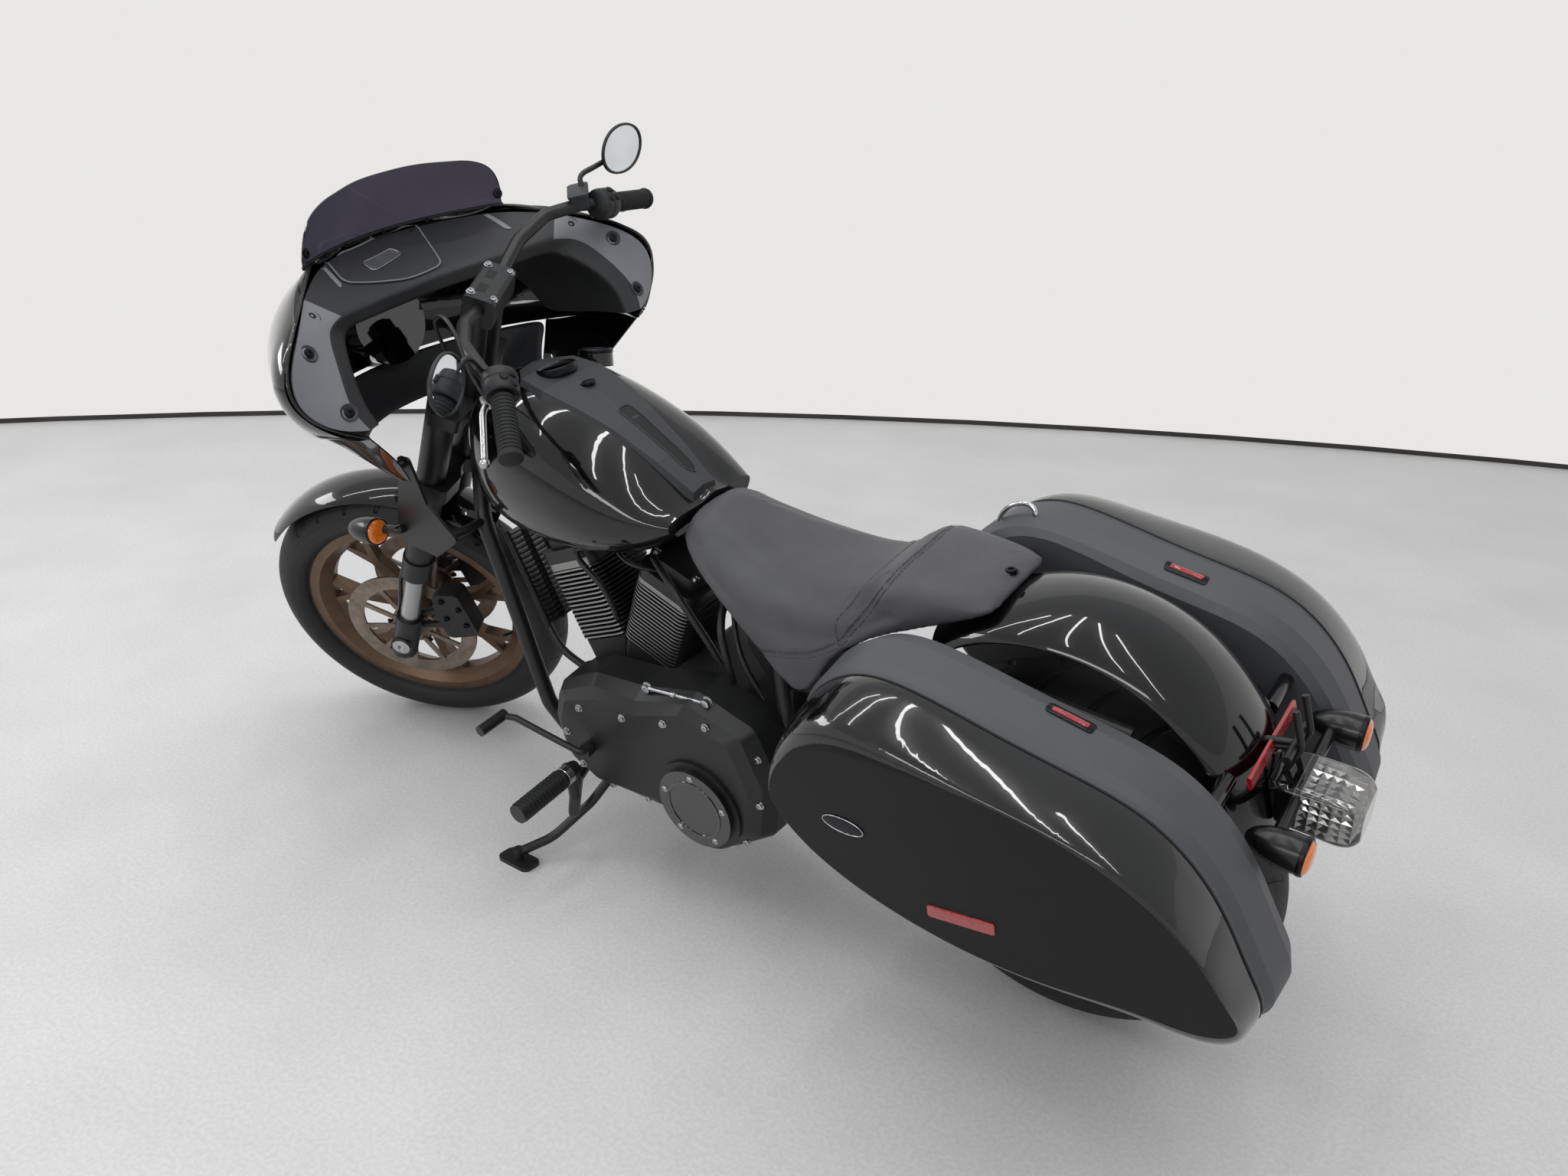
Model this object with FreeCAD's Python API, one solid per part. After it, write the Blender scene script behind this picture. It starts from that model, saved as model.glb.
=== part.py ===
import FreeCAD, Part
import math
import os

# Touring cruiser motorcycle, millimetres. It is drawn upright, with X forward from the rear axle,
# Y to the rider's left and Z up from the road, then leaned onto its side stand with the steering
# turned left against its stop, as it parks.

V = FreeCAD.Vector
ORIGIN = V(0, 0, 0)
X_AXIS = V(1, 0, 0)
Y_AXIS = V(0, 1, 0)
Z_AXIS = V(0, 0, 1)

# Chassis
wheelbase = 1615.0
rake = 28.0
trail = 145.0
steer_stop = 28.0
lean = 10.0
origin_ahead = 757.7
origin_left = 135.16

# Front wheel
front_tyre_radius = 340.0
front_tyre_width = 110.0
front_tyre_crown = 62.0
front_bead_radius = 241.0
front_rim_width = 76.0
front_rim_lip = 15.0
front_disc_radius = 150.0
front_disc_thickness = 5.0
front_disc_offset = 75.0
front_axle_radius = 12.0
front_hub_radius = 36.0
front_spokes = 7

# Rear wheel
rear_tyre_radius = 329.0
rear_tyre_width = 180.0
rear_tyre_crown = 115.0
rear_bead_radius = 203.0
rear_rim_width = 142.0
rear_rim_lip = 15.0
rear_axle_radius = 12.5
rear_hub_radius = 44.0
rear_spokes = 7
rear_disc_radius = 146.0
rear_disc_offset = -104.0
pulley_radius = 112.0
pulley_width = 26.0
pulley_offset = 112.0

# Fits and wall thicknesses
running_gap = 0.05
seat_gap = 0.3
tyre_wall = 10.0
rim_wall = 5.0
panel = 4.0

# Fork and steering
fork_spacing = 113.0
fork_slider_radius = 21.5
fork_collar_radius = 33.0
fork_outer_radius = 29.0
fork_lug_radius = 29.0
lug_bottom = -42.0
lug_top = 78.0
collar_bottom = 220.0
collar_top = 275.0
fork_top = 722.0
lower_clamp = 474.0
lower_clamp_height = 36.0
head_bottom = 512.0
head_top = 664.0
upper_clamp = 666.0
upper_clamp_height = 30.0
stem_radius = 16.0
head_radius = 30.0
bar_radius = 12.7
grip_radius = 18.0
grip_length = 118.0

# Frame
frame_tube = 16.0
backbone_tube = 30.0
cradle_half_width = 85.0
swingarm_half_width = 150.0
swingarm_tube = 16.0
rail_tube = 12.0
fender_half_width = 112.0
pivot_x = 520.0
pivot_z = 350.0
pivot_radius = 22.0

# Engine
crank_x = 905.0
crank_z = 330.0
vee_half_angle = 22.5
cylinder_base = 152.0
fin_pitch = 9.0
fin_thickness = 3.5
fin_count = 17
fin_width = 146.0
fin_depth = 150.0
barrel_radius = 54.0
head_height = 16.0
rocker_height = 54.0
case_half_width = 101.5
engine_right = 139.5
derby_radius = 82.0
primary_outer = 205.0

# Luggage
bag_inner = 176.0
bag_seam = 300.0
bag_outer = 402.0
bag_wall = 4.0
bag_hinge_z = 372.5
bag_knuckle_radius = 7.0
bag_pin_radius = 3.5
bag_knuckles = (-98.0, -70.0, -10.0, 18.0)
lid_opening = 75.0

# Side stand
stand_pin_radius = 8.0
stand_foot_thickness = 8.0
stand_fold = 96.0
stand_eye_height = 18.0


rake_sin = math.sin(math.radians(rake))
rake_cos = math.cos(math.radians(rake))
fork_offset = front_tyre_radius * rake_sin - trail * rake_cos
STEER_DIR = V(-rake_sin, 0, rake_cos)
FORWARD = V(rake_cos, 0, rake_sin)
STEER_POINT = V(wheelbase + trail, 0, 0)
FRONT_AXLE = V(wheelbase, 0, front_tyre_radius)
REAR_AXLE = V(0, 0, rear_tyre_radius)


def on_fork(t, y=0.0, forward=0.0):
    """Point t up the fork from the front axle, y to the left, forward of the leg."""
    return FRONT_AXLE + STEER_DIR * t + FORWARD * forward + V(0, y, 0)


def on_stem(t, y=0.0, forward=0.0):
    """Point on the steering axis level with the same t on the fork."""
    return on_fork(t, y, forward - fork_offset)


def cylinder(start, end, radius):
    axis = end - start
    return Part.makeCylinder(radius, axis.Length, start, axis)


def box(x0, x1, y0, y1, z0, z1):
    return Part.makeBox(x1 - x0, y1 - y0, z1 - z0, V(x0, y0, z0))


def mirrored(shape):
    return shape.mirror(ORIGIN, Y_AXIS)


def both_sides(shape):
    return [shape, mirrored(shape)]


def joined(shapes):
    whole = shapes[0].fuse(shapes[1:])
    return whole.removeSplitter()


def group(shapes):
    return Part.makeCompound(shapes)


def rounded_wire(points, radius):
    """Closed wire through the points with each corner rounded."""
    edges = []
    ends = []
    count = len(points)
    for i in range(count):
        before = points[i - 1]
        corner = points[i]
        after = points[(i + 1) % count]
        r = radius[i] if isinstance(radius, (list, tuple)) else radius
        a = (before - corner)
        b = (after - corner)
        reach_a = a.Length
        reach_b = b.Length
        a.normalize()
        b.normalize()
        half = a.getAngle(b) / 2
        cut = min(r / math.tan(half), 0.49 * reach_a, 0.49 * reach_b)
        r = cut * math.tan(half)
        start = corner + a * cut
        stop = corner + b * cut
        bisector = a + b
        bisector.normalize()
        centre = corner + bisector * (r / math.sin(half))
        middle = centre - bisector * r
        ends.append((start, middle, stop))
    for i in range(count):
        start, middle, stop = ends[i]
        last = ends[i - 1][2]
        if (start - last).Length > 1e-4:
            edges.append(Part.makeLine(last, start))
        edges.append(Part.Arc(start, middle, stop).toShape())
    return Part.Wire(edges)


def side_wire(outline, y, radius=0.0):
    points = [V(x, y, z) for x, z in outline]
    if radius:
        return rounded_wire(points, radius)
    return Part.makePolygon(points + [points[0]])


def side_plate(outline, y0, y1, radius=0.0):
    """Plate with an outline in the side view, from y0 to y1."""
    face = Part.Face(side_wire(outline, y0, radius))
    return face.extrude(V(0, y1 - y0, 0))


def smooth_wire(points):
    curve = Part.BSplineCurve()
    curve.interpolate(Points=points, PeriodicFlag=True)
    return Part.Wire(curve.toShape())


def loft(wires, ruled=False):
    return Part.makeLoft(wires, True, ruled)


def bent_path(points, bend):
    """Open wire of straight runs joined by tangent arcs."""
    edges = []
    start = points[0]
    for i in range(1, len(points) - 1):
        corner = points[i]
        a = points[i - 1] - corner
        b = points[i + 1] - corner
        reach = min(a.Length, b.Length) * 0.49
        a.normalize()
        b.normalize()
        half = a.getAngle(b) / 2
        if half > math.radians(89.5):
            continue
        cut = min(bend / math.tan(half), reach)
        r = cut * math.tan(half)
        bisector = a + b
        bisector.normalize()
        middle = corner + bisector * (r / math.sin(half) - r)
        first = corner + a * cut
        last = corner + b * cut
        if (first - start).Length > 1e-4:
            edges.append(Part.makeLine(start, first))
        edges.append(Part.Arc(first, middle, last).toShape())
        start = last
    edges.append(Part.makeLine(start, points[-1]))
    return Part.Wire(edges)


def tube(points, radius, bend=40.0):
    path = bent_path(points, bend)
    direction = points[1] - points[0]
    circle = Part.Wire(Part.makeCircle(radius, points[0], direction))
    return path.makePipeShell([circle], True, False)


def ring_about_y(profile, centre):
    """Solid turned about the Y axis through centre; the profile is (radius, y)."""
    points = [centre + V(r, y, 0) for r, y in profile]
    face = Part.Face(Part.makePolygon(points + [points[0]]))
    return face.revolve(centre, Y_AXIS, 360)


def disc_about_y(centre, radius, y0, y1):
    return Part.makeCylinder(radius, y1 - y0, V(centre.x, y0, centre.z), Y_AXIS)


# Wheels


def tyre(centre, radius, width, crown, bead, rim_width, rim_lip_height):
    """Open-bellied carcass: round crown, bulged sidewalls and beads on the rim."""
    half = width / 2
    shoulder = radius - crown + math.sqrt(crown ** 2 - half ** 2)
    bead_y = rim_width / 2 - rim_wall
    waist = (shoulder + bead) / 2
    inner_half = half - tyre_wall
    edges = []

    def at(r, y):
        return centre + V(r, y, 0)

    edges.append(Part.Arc(at(shoulder, -half), at(radius, 0), at(shoulder, half)).toShape())
    flange = bead + rim_lip_height + 1.5
    edges.append(Part.Arc(at(shoulder, half), at(waist, half + 1.0), at(flange, bead_y)).toShape())
    edges.append(Part.makeLine(at(flange, bead_y), at(bead, bead_y)))
    edges.append(Part.makeLine(at(bead, bead_y), at(bead, bead_y - tyre_wall)))
    edges.append(
        Part.Arc(
            at(bead, bead_y - tyre_wall),
            at(waist, inner_half),
            at(shoulder - tyre_wall / 2, inner_half),
        ).toShape()
    )
    edges.append(
        Part.Arc(
            at(shoulder - tyre_wall / 2, inner_half),
            at(radius - tyre_wall, 0),
            at(shoulder - tyre_wall / 2, -inner_half),
        ).toShape()
    )
    edges.append(
        Part.Arc(
            at(shoulder - tyre_wall / 2, -inner_half),
            at(waist, -inner_half),
            at(bead, -bead_y + tyre_wall),
        ).toShape()
    )
    edges.append(Part.makeLine(at(bead, -bead_y + tyre_wall), at(bead, -bead_y)))
    edges.append(Part.makeLine(at(bead, -bead_y), at(flange, -bead_y)))
    edges.append(Part.Arc(at(flange, -bead_y), at(waist, -half - 1.0), at(shoulder, -half)).toShape())
    face = Part.Face(Part.Wire(edges))
    return face.revolve(centre, Y_AXIS, 360)


def rim(centre, bead, width, lip):
    """Rim barrel with raised lips and a dropped centre."""
    half = width / 2
    well = bead - 22.0
    profile = [
        (bead + lip, half),
        (bead + lip, half - rim_wall),
        (bead, half - rim_wall),
        (bead - 1.0, half - 22.0),
        (well, half - 30.0),
        (well, -half + 30.0),
        (bead - 1.0, -half + 22.0),
        (bead, -half + rim_wall),
        (bead + lip, -half + rim_wall),
        (bead + lip, -half),
        (bead - 6.0, -half),
        (well - 6.0, -half + 26.0),
        (well - 6.0, half - 26.0),
        (bead - 6.0, half),
    ]
    return ring_about_y(profile, centre)


def split_spoke(centre, hub, reach, half_width):
    """One arm that forks into two toes at the rim, along +X from the wheel's centre."""
    fork_at = reach - 62.0
    outline = [
        (hub - 4.0, -15.0),
        (fork_at, -11.0),
        (reach, -34.0),
        (reach, -22.0),
        (fork_at + 22.0, 0.0),
        (reach, 22.0),
        (reach, 34.0),
        (fork_at, 11.0),
        (hub - 4.0, 15.0),
    ]
    points = [V(centre.x + r, -half_width, centre.z + t) for r, t in outline]
    face = Part.Face(Part.makePolygon(points + [points[0]]))
    return face.extrude(V(0, 2 * half_width, 0))


def cast_wheel(centre, bead, width, lip, hub_radius, hub_half, axle_radius, spokes, first_angle):
    parts = [rim(centre, bead, width, lip)]
    parts.append(disc_about_y(centre, hub_radius, -hub_half, hub_half))
    reach = bead - 26.0
    for i in range(spokes):
        arm = split_spoke(centre, hub_radius, reach, 13.0)
        arm.rotate(centre, Y_AXIS, -(first_angle + i * 360.0 / spokes))
        parts.append(arm)
    wheel = joined(parts)
    bore = disc_about_y(centre, axle_radius + running_gap, -hub_half - 5, hub_half + 5)
    return wheel.cut(bore)


def front_wheel():
    return cast_wheel(
        FRONT_AXLE, front_bead_radius, front_rim_width, front_rim_lip, front_hub_radius,
        front_disc_offset - front_disc_thickness / 2 - 6.0, front_axle_radius, front_spokes, 14.0)


def rear_wheel():
    return cast_wheel(
        REAR_AXLE, rear_bead_radius, rear_rim_width, rear_rim_lip, rear_hub_radius,
        pulley_offset - pulley_width / 2 - 4.0, rear_axle_radius, rear_spokes, 14.0)


def brake_disc(centre, radius, y, bore_radius, inward):
    """Drilled rotor on a spoked carrier that seats on the hub's end."""
    half = front_disc_thickness / 2
    rotor = disc_about_y(centre, radius, y - half, y + half)
    rotor = rotor.cut(disc_about_y(centre, radius - 36.0, y - half - 1, y + half + 1))
    carrier = disc_about_y(centre, bore_radius + 32.0, min(y, y + inward), max(y, y + inward))
    arms = []
    for i in range(10):
        arm = box(
            centre.x + bore_radius + 24.0, centre.x + radius - 30.0,
            y - half, y + half, centre.z - 6.0, centre.z + 6.0)
        arm.rotate(centre, Y_AXIS, 36.0 * i)
        arms.append(arm)
    disc = joined([rotor, carrier] + arms)
    return disc.cut(disc_about_y(centre, bore_radius, y - 30, y + 30))


def front_discs():
    return group(both_sides(
        brake_disc(FRONT_AXLE, front_disc_radius, front_disc_offset, front_axle_radius + 6.0, -8.5)))


def rear_rotor_and_pulley():
    hub_half = pulley_offset - pulley_width / 2 - 4.0
    disc = brake_disc(
        REAR_AXLE, rear_disc_radius, rear_disc_offset, rear_axle_radius + 6.0,
        -hub_half - rear_disc_offset)
    wheel = disc_about_y(REAR_AXLE, pulley_radius, pulley_offset - pulley_width / 2,
                         pulley_offset + pulley_width / 2)
    well = disc_about_y(REAR_AXLE, pulley_radius - 14.0, pulley_offset - 4.0, pulley_offset + 40.0)
    boss = disc_about_y(REAR_AXLE, 42.0, hub_half, pulley_offset - pulley_width / 2)
    pulley = joined([wheel.cut(well), boss])
    pulley = pulley.cut(disc_about_y(REAR_AXLE, rear_axle_radius + 6.0, 60, 160))
    return group([disc, pulley])


# Fork and steering


def fork_leg():
    """Axle lug below and outer tube above, with the bright slider left out between them."""
    y = fork_spacing
    lug = cylinder(on_fork(lug_bottom, y), on_fork(lug_top, y), fork_lug_radius)
    eye = disc_about_y(FRONT_AXLE, 25.0, y - fork_lug_radius + 6.0, y + fork_lug_radius + 2.0)
    collar = cylinder(on_fork(collar_bottom, y), on_fork(collar_top, y), fork_collar_radius)
    outer = cylinder(on_fork(collar_top - 5, y), on_fork(fork_top, y), fork_outer_radius)
    cap = cylinder(on_fork(fork_top - 1, y), on_fork(fork_top + 6, y), fork_outer_radius - 8)
    bore = disc_about_y(FRONT_AXLE, front_axle_radius, 40, 160)
    return [joined([lug, eye]).cut(bore), joined([collar, outer, cap])]


def fork_legs():
    pieces = fork_leg()
    return group(pieces + [mirrored(piece) for piece in pieces])


def fork_sliders():
    """Bright inner tubes between the axle lugs and the collars."""
    y = fork_spacing
    slider = cylinder(on_fork(lug_top, y), on_fork(collar_bottom, y), fork_slider_radius)
    return group(both_sides(slider))


def front_axle():
    end = fork_spacing + fork_lug_radius + 6.0
    axle = disc_about_y(FRONT_AXLE, front_axle_radius, -end, end)
    return axle.cut(disc_about_y(FRONT_AXLE, 7.0, end - 40.0, end + 1))


def clamp_plate(t, height):
    """Three-armed yoke plate across both fork legs and the stem."""
    outline = [(-26, -48), (26, -48), (34, -fork_spacing - 40), (-34, -fork_spacing - 40)]
    loop = [(-34, 0), (-30, 60), (-40, fork_spacing - 26), (-30, fork_spacing + 32),
            (30, fork_spacing + 32), (40, fork_spacing - 26), (30, 60), (14, 0)]
    right = [(f, -y) for f, y in reversed(loop[1:-1])]
    ring = loop[:-1] + [(loop[-1][0], 0)] + right
    points = [on_fork(t, y, f - fork_offset * 0.35) for f, y in ring]
    face = Part.Face(rounded_wire(points, 12.0))
    plate = face.extrude(STEER_DIR * height)
    nose = cylinder(on_stem(t), on_stem(t + height), 36.0)
    return joined([plate, nose])


def triple_clamps():
    stem = cylinder(on_stem(lower_clamp), on_stem(upper_clamp + upper_clamp_height), stem_radius)
    lower = clamp_plate(lower_clamp, lower_clamp_height)
    upper = clamp_plate(upper_clamp, upper_clamp_height)
    whole = joined([stem, lower, upper])
    for side in (-1, 1):
        whole = whole.cut(cylinder(on_fork(300, side * fork_spacing),
                                   on_fork(800, side * fork_spacing), fork_outer_radius))
    return whole


bar_points = [
    (1176, 0, 1118), (1176, 70, 1118), (1160, 150, 1142), (1128, 232, 1150),
    (1078, 292, 1137), (1036, 331, 1117), (999, 440, 1070)]


def handlebar():
    left = [V(*p) for p in bar_points]
    right = [V(x, -y, z) for x, y, z in reversed(bar_points[1:])]
    return tube(right + left, bar_radius, 60.0)


def risers():
    """Twin posts from the upper yoke to a boxed clamp around the bar."""
    top = V(*bar_points[0])
    foot = on_stem(upper_clamp + upper_clamp_height)
    posts = []
    for side in (-1, 1):
        start = foot + V(0, side * 46, 0)
        posts.append(cylinder(start, V(top.x + 6, side * 46, top.z - 10), 19.0))
    up = top - foot
    up.normalize()
    along = V(up.z, 0, -up.x)
    corners = []
    for f, u in ((-30, -34), (30, -34), (30, 24), (-30, 24)):
        corners.append(top + along * f + up * u - V(0, 62, 0))
    block = Part.Face(rounded_wire(corners, 9.0)).extrude(V(0, 124, 0))
    whole = joined(posts + [block])
    return whole.cut(handlebar().fuse(triple_clamps()))


LEVER_PIVOT = V(1066, 330, 1102)


def grip():
    end = V(*bar_points[-1])
    inner = V(*bar_points[-2])
    along = end - inner
    along.normalize()
    body = cylinder(end - along * (grip_length - 4), end + along * 4, grip_radius)
    return body.cut(handlebar())


def grips():
    return group(both_sides(grip()))


def switch_housing():
    """Two-part clamp housing on the bar inboard of the grip."""
    end = V(*bar_points[-1])
    inner = V(*bar_points[-2])
    along = end - inner
    along.normalize()
    near = end - along * (grip_length - 3)
    barrel = cylinder(near - along * 44, near - along * 1, 25.0)
    perch = cylinder(near - along * 24, LEVER_PIVOT + V(0, 0, 8), 9.0)
    under = box(900, 1200, 250, 420, 1000, LEVER_PIVOT.z + 8 + seat_gap)
    boss_room = cylinder(LEVER_PIVOT - V(0, 0, 12), LEVER_PIVOT + V(0, 0, 8 + seat_gap), 14.0)
    return joined([barrel, perch.cut(under)]).cut(group([handlebar(), boss_room]))


def bar_controls():
    return group(both_sides(switch_housing()))


caliper_arm_place = 94.0


def front_calipers():
    """Four-piston block straddling each disc behind the leg, on two arms from the lug."""
    blocks = []
    for side in (-1, 1):
        y0 = side * (front_disc_offset - 20.0)
        y1 = side * (front_disc_offset + 26.0)
        outline = [(-172, -30), (-96, -38), (-88, 30), (-100, 96), (-160, 92)]
        loop = [(wheelbase + a, front_tyre_radius + b + 20) for a, b in outline]
        block = side_plate(loop, min(y0, y1), max(y0, y1), 14.0)
        slot = disc_about_y(FRONT_AXLE, front_disc_radius + 6.0,
                            side * front_disc_offset - 8.0, side * front_disc_offset + 8.0)
        arms = []
        for t, z in ((62, 66), (27, 20)):
            arms.append(cylinder(FRONT_AXLE + V(-108, side * caliper_arm_place, z),
                                 on_fork(t, side * caliper_arm_place), 8.0))
        whole = joined([block.cut(slot)] + arms)
        blocks.append(whole.cut(group([fork_legs(), fork_sliders()])))
    return group(blocks)


fender_stay_reach = 350.0


def front_fender():
    """Short crowned mudguard between the fork legs, on a stay from each axle lug."""
    inner = front_tyre_radius + 22.0
    half = front_tyre_width / 2 + 14.0
    ring = []
    for sign, step in ((1, 0.0), (-1, -3.5)):
        row = []
        for k in range(9):
            a = math.radians(-64 + 16 * k)
            row.append((inner - 34.0 + (34.0 + step) * math.cos(a) + 3.5,
                        (half + step) * math.sin(a)))
        ring.append(row)
    outer = [FRONT_AXLE + V(r, y, 0) for r, y in ring[0]]
    under = [FRONT_AXLE + V(r, y, 0) for r, y in ring[1]]
    top = Part.BSplineCurve()
    top.interpolate(Points=outer)
    bottom = Part.BSplineCurve()
    bottom.interpolate(Points=under)
    edges = [top.toShape(), Part.makeLine(outer[-1], under[-1]),
             bottom.toShape(), Part.makeLine(under[0], outer[0])]
    face = Part.Face(Part.Wire(Part.__sortEdges__(edges)))
    face.rotate(FRONT_AXLE, Y_AXIS, -46.0)
    guard = face.revolve(FRONT_AXLE, Y_AXIS * -1, 92.0)
    y = fork_spacing
    stay = tube([on_fork(64, y - 8, fork_lug_radius - 4), on_fork(160, y - 16, 36),
                 on_fork(fender_stay_reach, half * 0.87, 36)], 5.0, 30.0)
    return joined([guard] + both_sides(stay.cut(fork_legs())))


# Frame


def cradle_side():
    """One side of the cradle: downtube, lower rail and rear upright in one bent tube."""
    w = cradle_half_width
    points = [
        V(1275, 22, 828), V(1208, 104, 690), V(1122, 108, 285), V(1080, w, 186),
        V(600, w, 186), V(pivot_x, w, 270), V(pivot_x - 4, w, 470), V(540, 60, 600),
        V(590, 16, 648)]
    return tube(points, frame_tube, 70.0)


STAND_PIVOT = V(935, 125, 186)
STAND_FOOT = V(1034, 338, 63)
STAND_AXIS = V(-0.154, 0.639, 0.747)
STAND_AXIS.normalize()


def stand_lug():
    """Boss, pin and cap that carry the side stand's eye."""
    half = stand_eye_height / 2 + seat_gap
    boss = cylinder(STAND_PIVOT - STAND_AXIS * 24, STAND_PIVOT - STAND_AXIS * half, 12.0)
    pin = cylinder(STAND_PIVOT - STAND_AXIS * 20, STAND_PIVOT + STAND_AXIS * (half + 3),
                   stand_pin_radius)
    cap = cylinder(STAND_PIVOT + STAND_AXIS * half, STAND_PIVOT + STAND_AXIS * (half + 4), 13.0)
    root = STAND_PIVOT - STAND_AXIS * 19
    arm = cylinder(V(root.x, cradle_half_width, root.z + 3), root, 10.0)
    return joined([boss, pin, cap, arm])


rail_ends = [(300, 672), (80, 694)]
backbone_points = [(1262, 0, 868), (900, 0, 812), (760, 0, 745), (650, 0, 690), (585, 0, 636)]


def frame():
    stem_bore = cylinder(on_stem(head_bottom - 5), on_stem(head_top + 5), stem_radius + running_gap)
    parts = [cylinder(on_stem(head_bottom), on_stem(head_top), head_radius)]
    parts += both_sides(cradle_side())
    parts.append(tube([V(*p) for p in backbone_points], backbone_tube, 120.0))
    parts.append(cylinder(V(pivot_x, -100, pivot_z), V(pivot_x, 100, pivot_z), pivot_radius))
    parts.append(cylinder(V(1112, -100, 240), V(1112, 100, 240), 13.0))
    side = fender_half_width + seat_gap + rail_tube
    ends = [V(x, side, z) for x, z in rail_ends]
    rail = tube([V(545, 52, 612), V(440, side - 20, 650)] + ends + [V(-120, side, 672)],
                rail_tube, 60.0)
    parts += both_sides(rail)
    parts.append(stand_lug())
    whole = joined(parts)
    return whole.cut(stem_bore)


def swingarm():
    """Forked arm from the pivot to the rear axle."""
    w = swingarm_half_width
    arm = tube([V(pivot_x - 44, 60, pivot_z), V(pivot_x - 80, w - 8, pivot_z),
                V(330, w, 345), V(8, w, rear_tyre_radius)], swingarm_tube, 30.0)
    lug = disc_about_y(REAR_AXLE, 30.0, w - 14, w + 14)
    side = joined([arm, lug])
    yoke = box(pivot_x - 62, pivot_x - pivot_radius - 0.0, -70, 70, pivot_z - 28, pivot_z + 28)
    whole = joined(both_sides(side) + [yoke])
    return whole.cut(disc_about_y(REAR_AXLE, rear_axle_radius, -200, 200))


def rear_axle():
    end = swingarm_half_width + 20.0
    return disc_about_y(REAR_AXLE, rear_axle_radius, -end, end)


# Engine


def along_bore(side, t, across=0.0, y=0.0):
    """Point t up a cylinder's bore from the crank: side 1 is the front one, -1 the rear."""
    a = math.radians(vee_half_angle)
    up = V(side * math.sin(a), 0, math.cos(a))
    over = V(math.cos(a), 0, -side * math.sin(a))
    return V(crank_x, y, crank_z) + up * t + over * across


def bore_plate(side, t, height, width, depth, radius):
    half = width / 2
    y = depth / 2
    corners = [along_bore(side, t, -half, -y), along_bore(side, t, half, -y),
               along_bore(side, t, half, y), along_bore(side, t, -half, y)]
    up = along_bore(side, 1) - along_bore(side, 0)
    return Part.Face(rounded_wire(corners, radius)).extrude(up * height)


def vee_split(side):
    """Half-space on one side of the vee, 2 mm clear of its middle."""
    if side > 0:
        return box(crank_x + 1.5, crank_x + 600, -300, 300, 0, 1200)
    return box(crank_x - 600, crank_x - 1.5, -300, 300, 0, 1200)


def one_cylinder(side):
    top = cylinder_base + fin_count * fin_pitch
    parts = [cylinder(along_bore(side, cylinder_base), along_bore(side, top), barrel_radius)]
    for i in range(fin_count):
        t = cylinder_base + 4.0 + i * fin_pitch
        parts.append(bore_plate(side, t, fin_thickness, fin_width, fin_depth, 30.0))
    parts.append(bore_plate(side, top, head_height, fin_width - 8, fin_depth - 4, 22.0))
    return joined(parts).common(vee_split(side))


def cylinders():
    return group([one_cylinder(-1), one_cylinder(1)])


def rocker_covers():
    covers = []
    base = cylinder_base + fin_count * fin_pitch + head_height
    for side in (-1, 1):
        lower = bore_plate(side, base, 26.0, fin_width - 10, fin_depth + 6, 26.0)
        upper = bore_plate(side, base + 26.0, rocker_height - 26.0, fin_width - 34, fin_depth - 26,
                           24.0)
        covers.append(joined([lower, upper]).common(vee_split(side)))
    return group(covers)


def engine_case():
    outline = [
        (1012, 330), (1000, 262), (962, 216), (560, 216), (556, 300), (566, 420), (612, 470),
        (760, 476), (800, 440), (1000, 420)]
    body = side_plate(outline, -case_half_width, case_half_width, 24.0)
    drum = disc_about_y(V(crank_x, 0, crank_z), 112.0, -case_half_width, case_half_width)
    decks = []
    for side in (-1, 1):
        decks.append(bore_plate(side, 60.0, cylinder_base - 60.0, 120.0, 150.0, 20.0)
                     .common(vee_split(side)))
    cam = disc_about_y(V(crank_x + 10, 0, crank_z + 20), 92.0, -engine_right,
                       -case_half_width + 5)
    bridge = box(crank_x - 30, crank_x + 30, -60, 60, crank_z + 50, crank_z + 130)
    case = joined([body, drum, cam, bridge] + decks)
    return case.cut(cylinders().fuse(frame()))


primary_outline = [
    (1022, 350), (1010, 262), (940, 214), (740, 206), (690, 176), (590, 172), (498, 240),
    (478, 360), (520, 470), (640, 512), (780, 480), (900, 470), (1000, 420)]


def scaled_outline(outline, inset):
    cx = sum(p[0] for p in outline) / len(outline)
    cz = sum(p[1] for p in outline) / len(outline)
    result = []
    for x, z in outline:
        d = math.hypot(x - cx, z - cz)
        k = (d - inset) / d
        result.append((cx + (x - cx) * k, cz + (z - cz) * k))
    return result


def primary_cover():
    inner = case_half_width + seat_gap
    rows = [(inner, 0.0), (primary_outer - 42, 4.0), (primary_outer - 14, 20.0),
            (primary_outer, 44.0)]
    wires = [side_wire(scaled_outline(primary_outline, s), y, 30.0) for y, s in rows]
    shell = loft(wires, True)
    boss = disc_about_y(V(638, 0, 286), derby_radius + 12.0, primary_outer - 60, primary_outer + 6)
    belt_room = belt_loop(belt_thickness + belt_clearance, case_half_width,
                          pulley_offset + belt_width / 2 + belt_clearance)
    return joined([shell, boss]).cut(belt_room)


def derby_cover():
    return disc_about_y(V(638, 0, 286), derby_radius, primary_outer + 6, primary_outer + 18)


def exhaust_pipe(points, muffler_from, muffler_to, radius, muffler_radius):
    pipe = tube([V(*p) for p in points], radius, 60.0)
    can = cylinder(V(*muffler_from), V(*muffler_to), muffler_radius)
    return joined([pipe, can])


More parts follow.
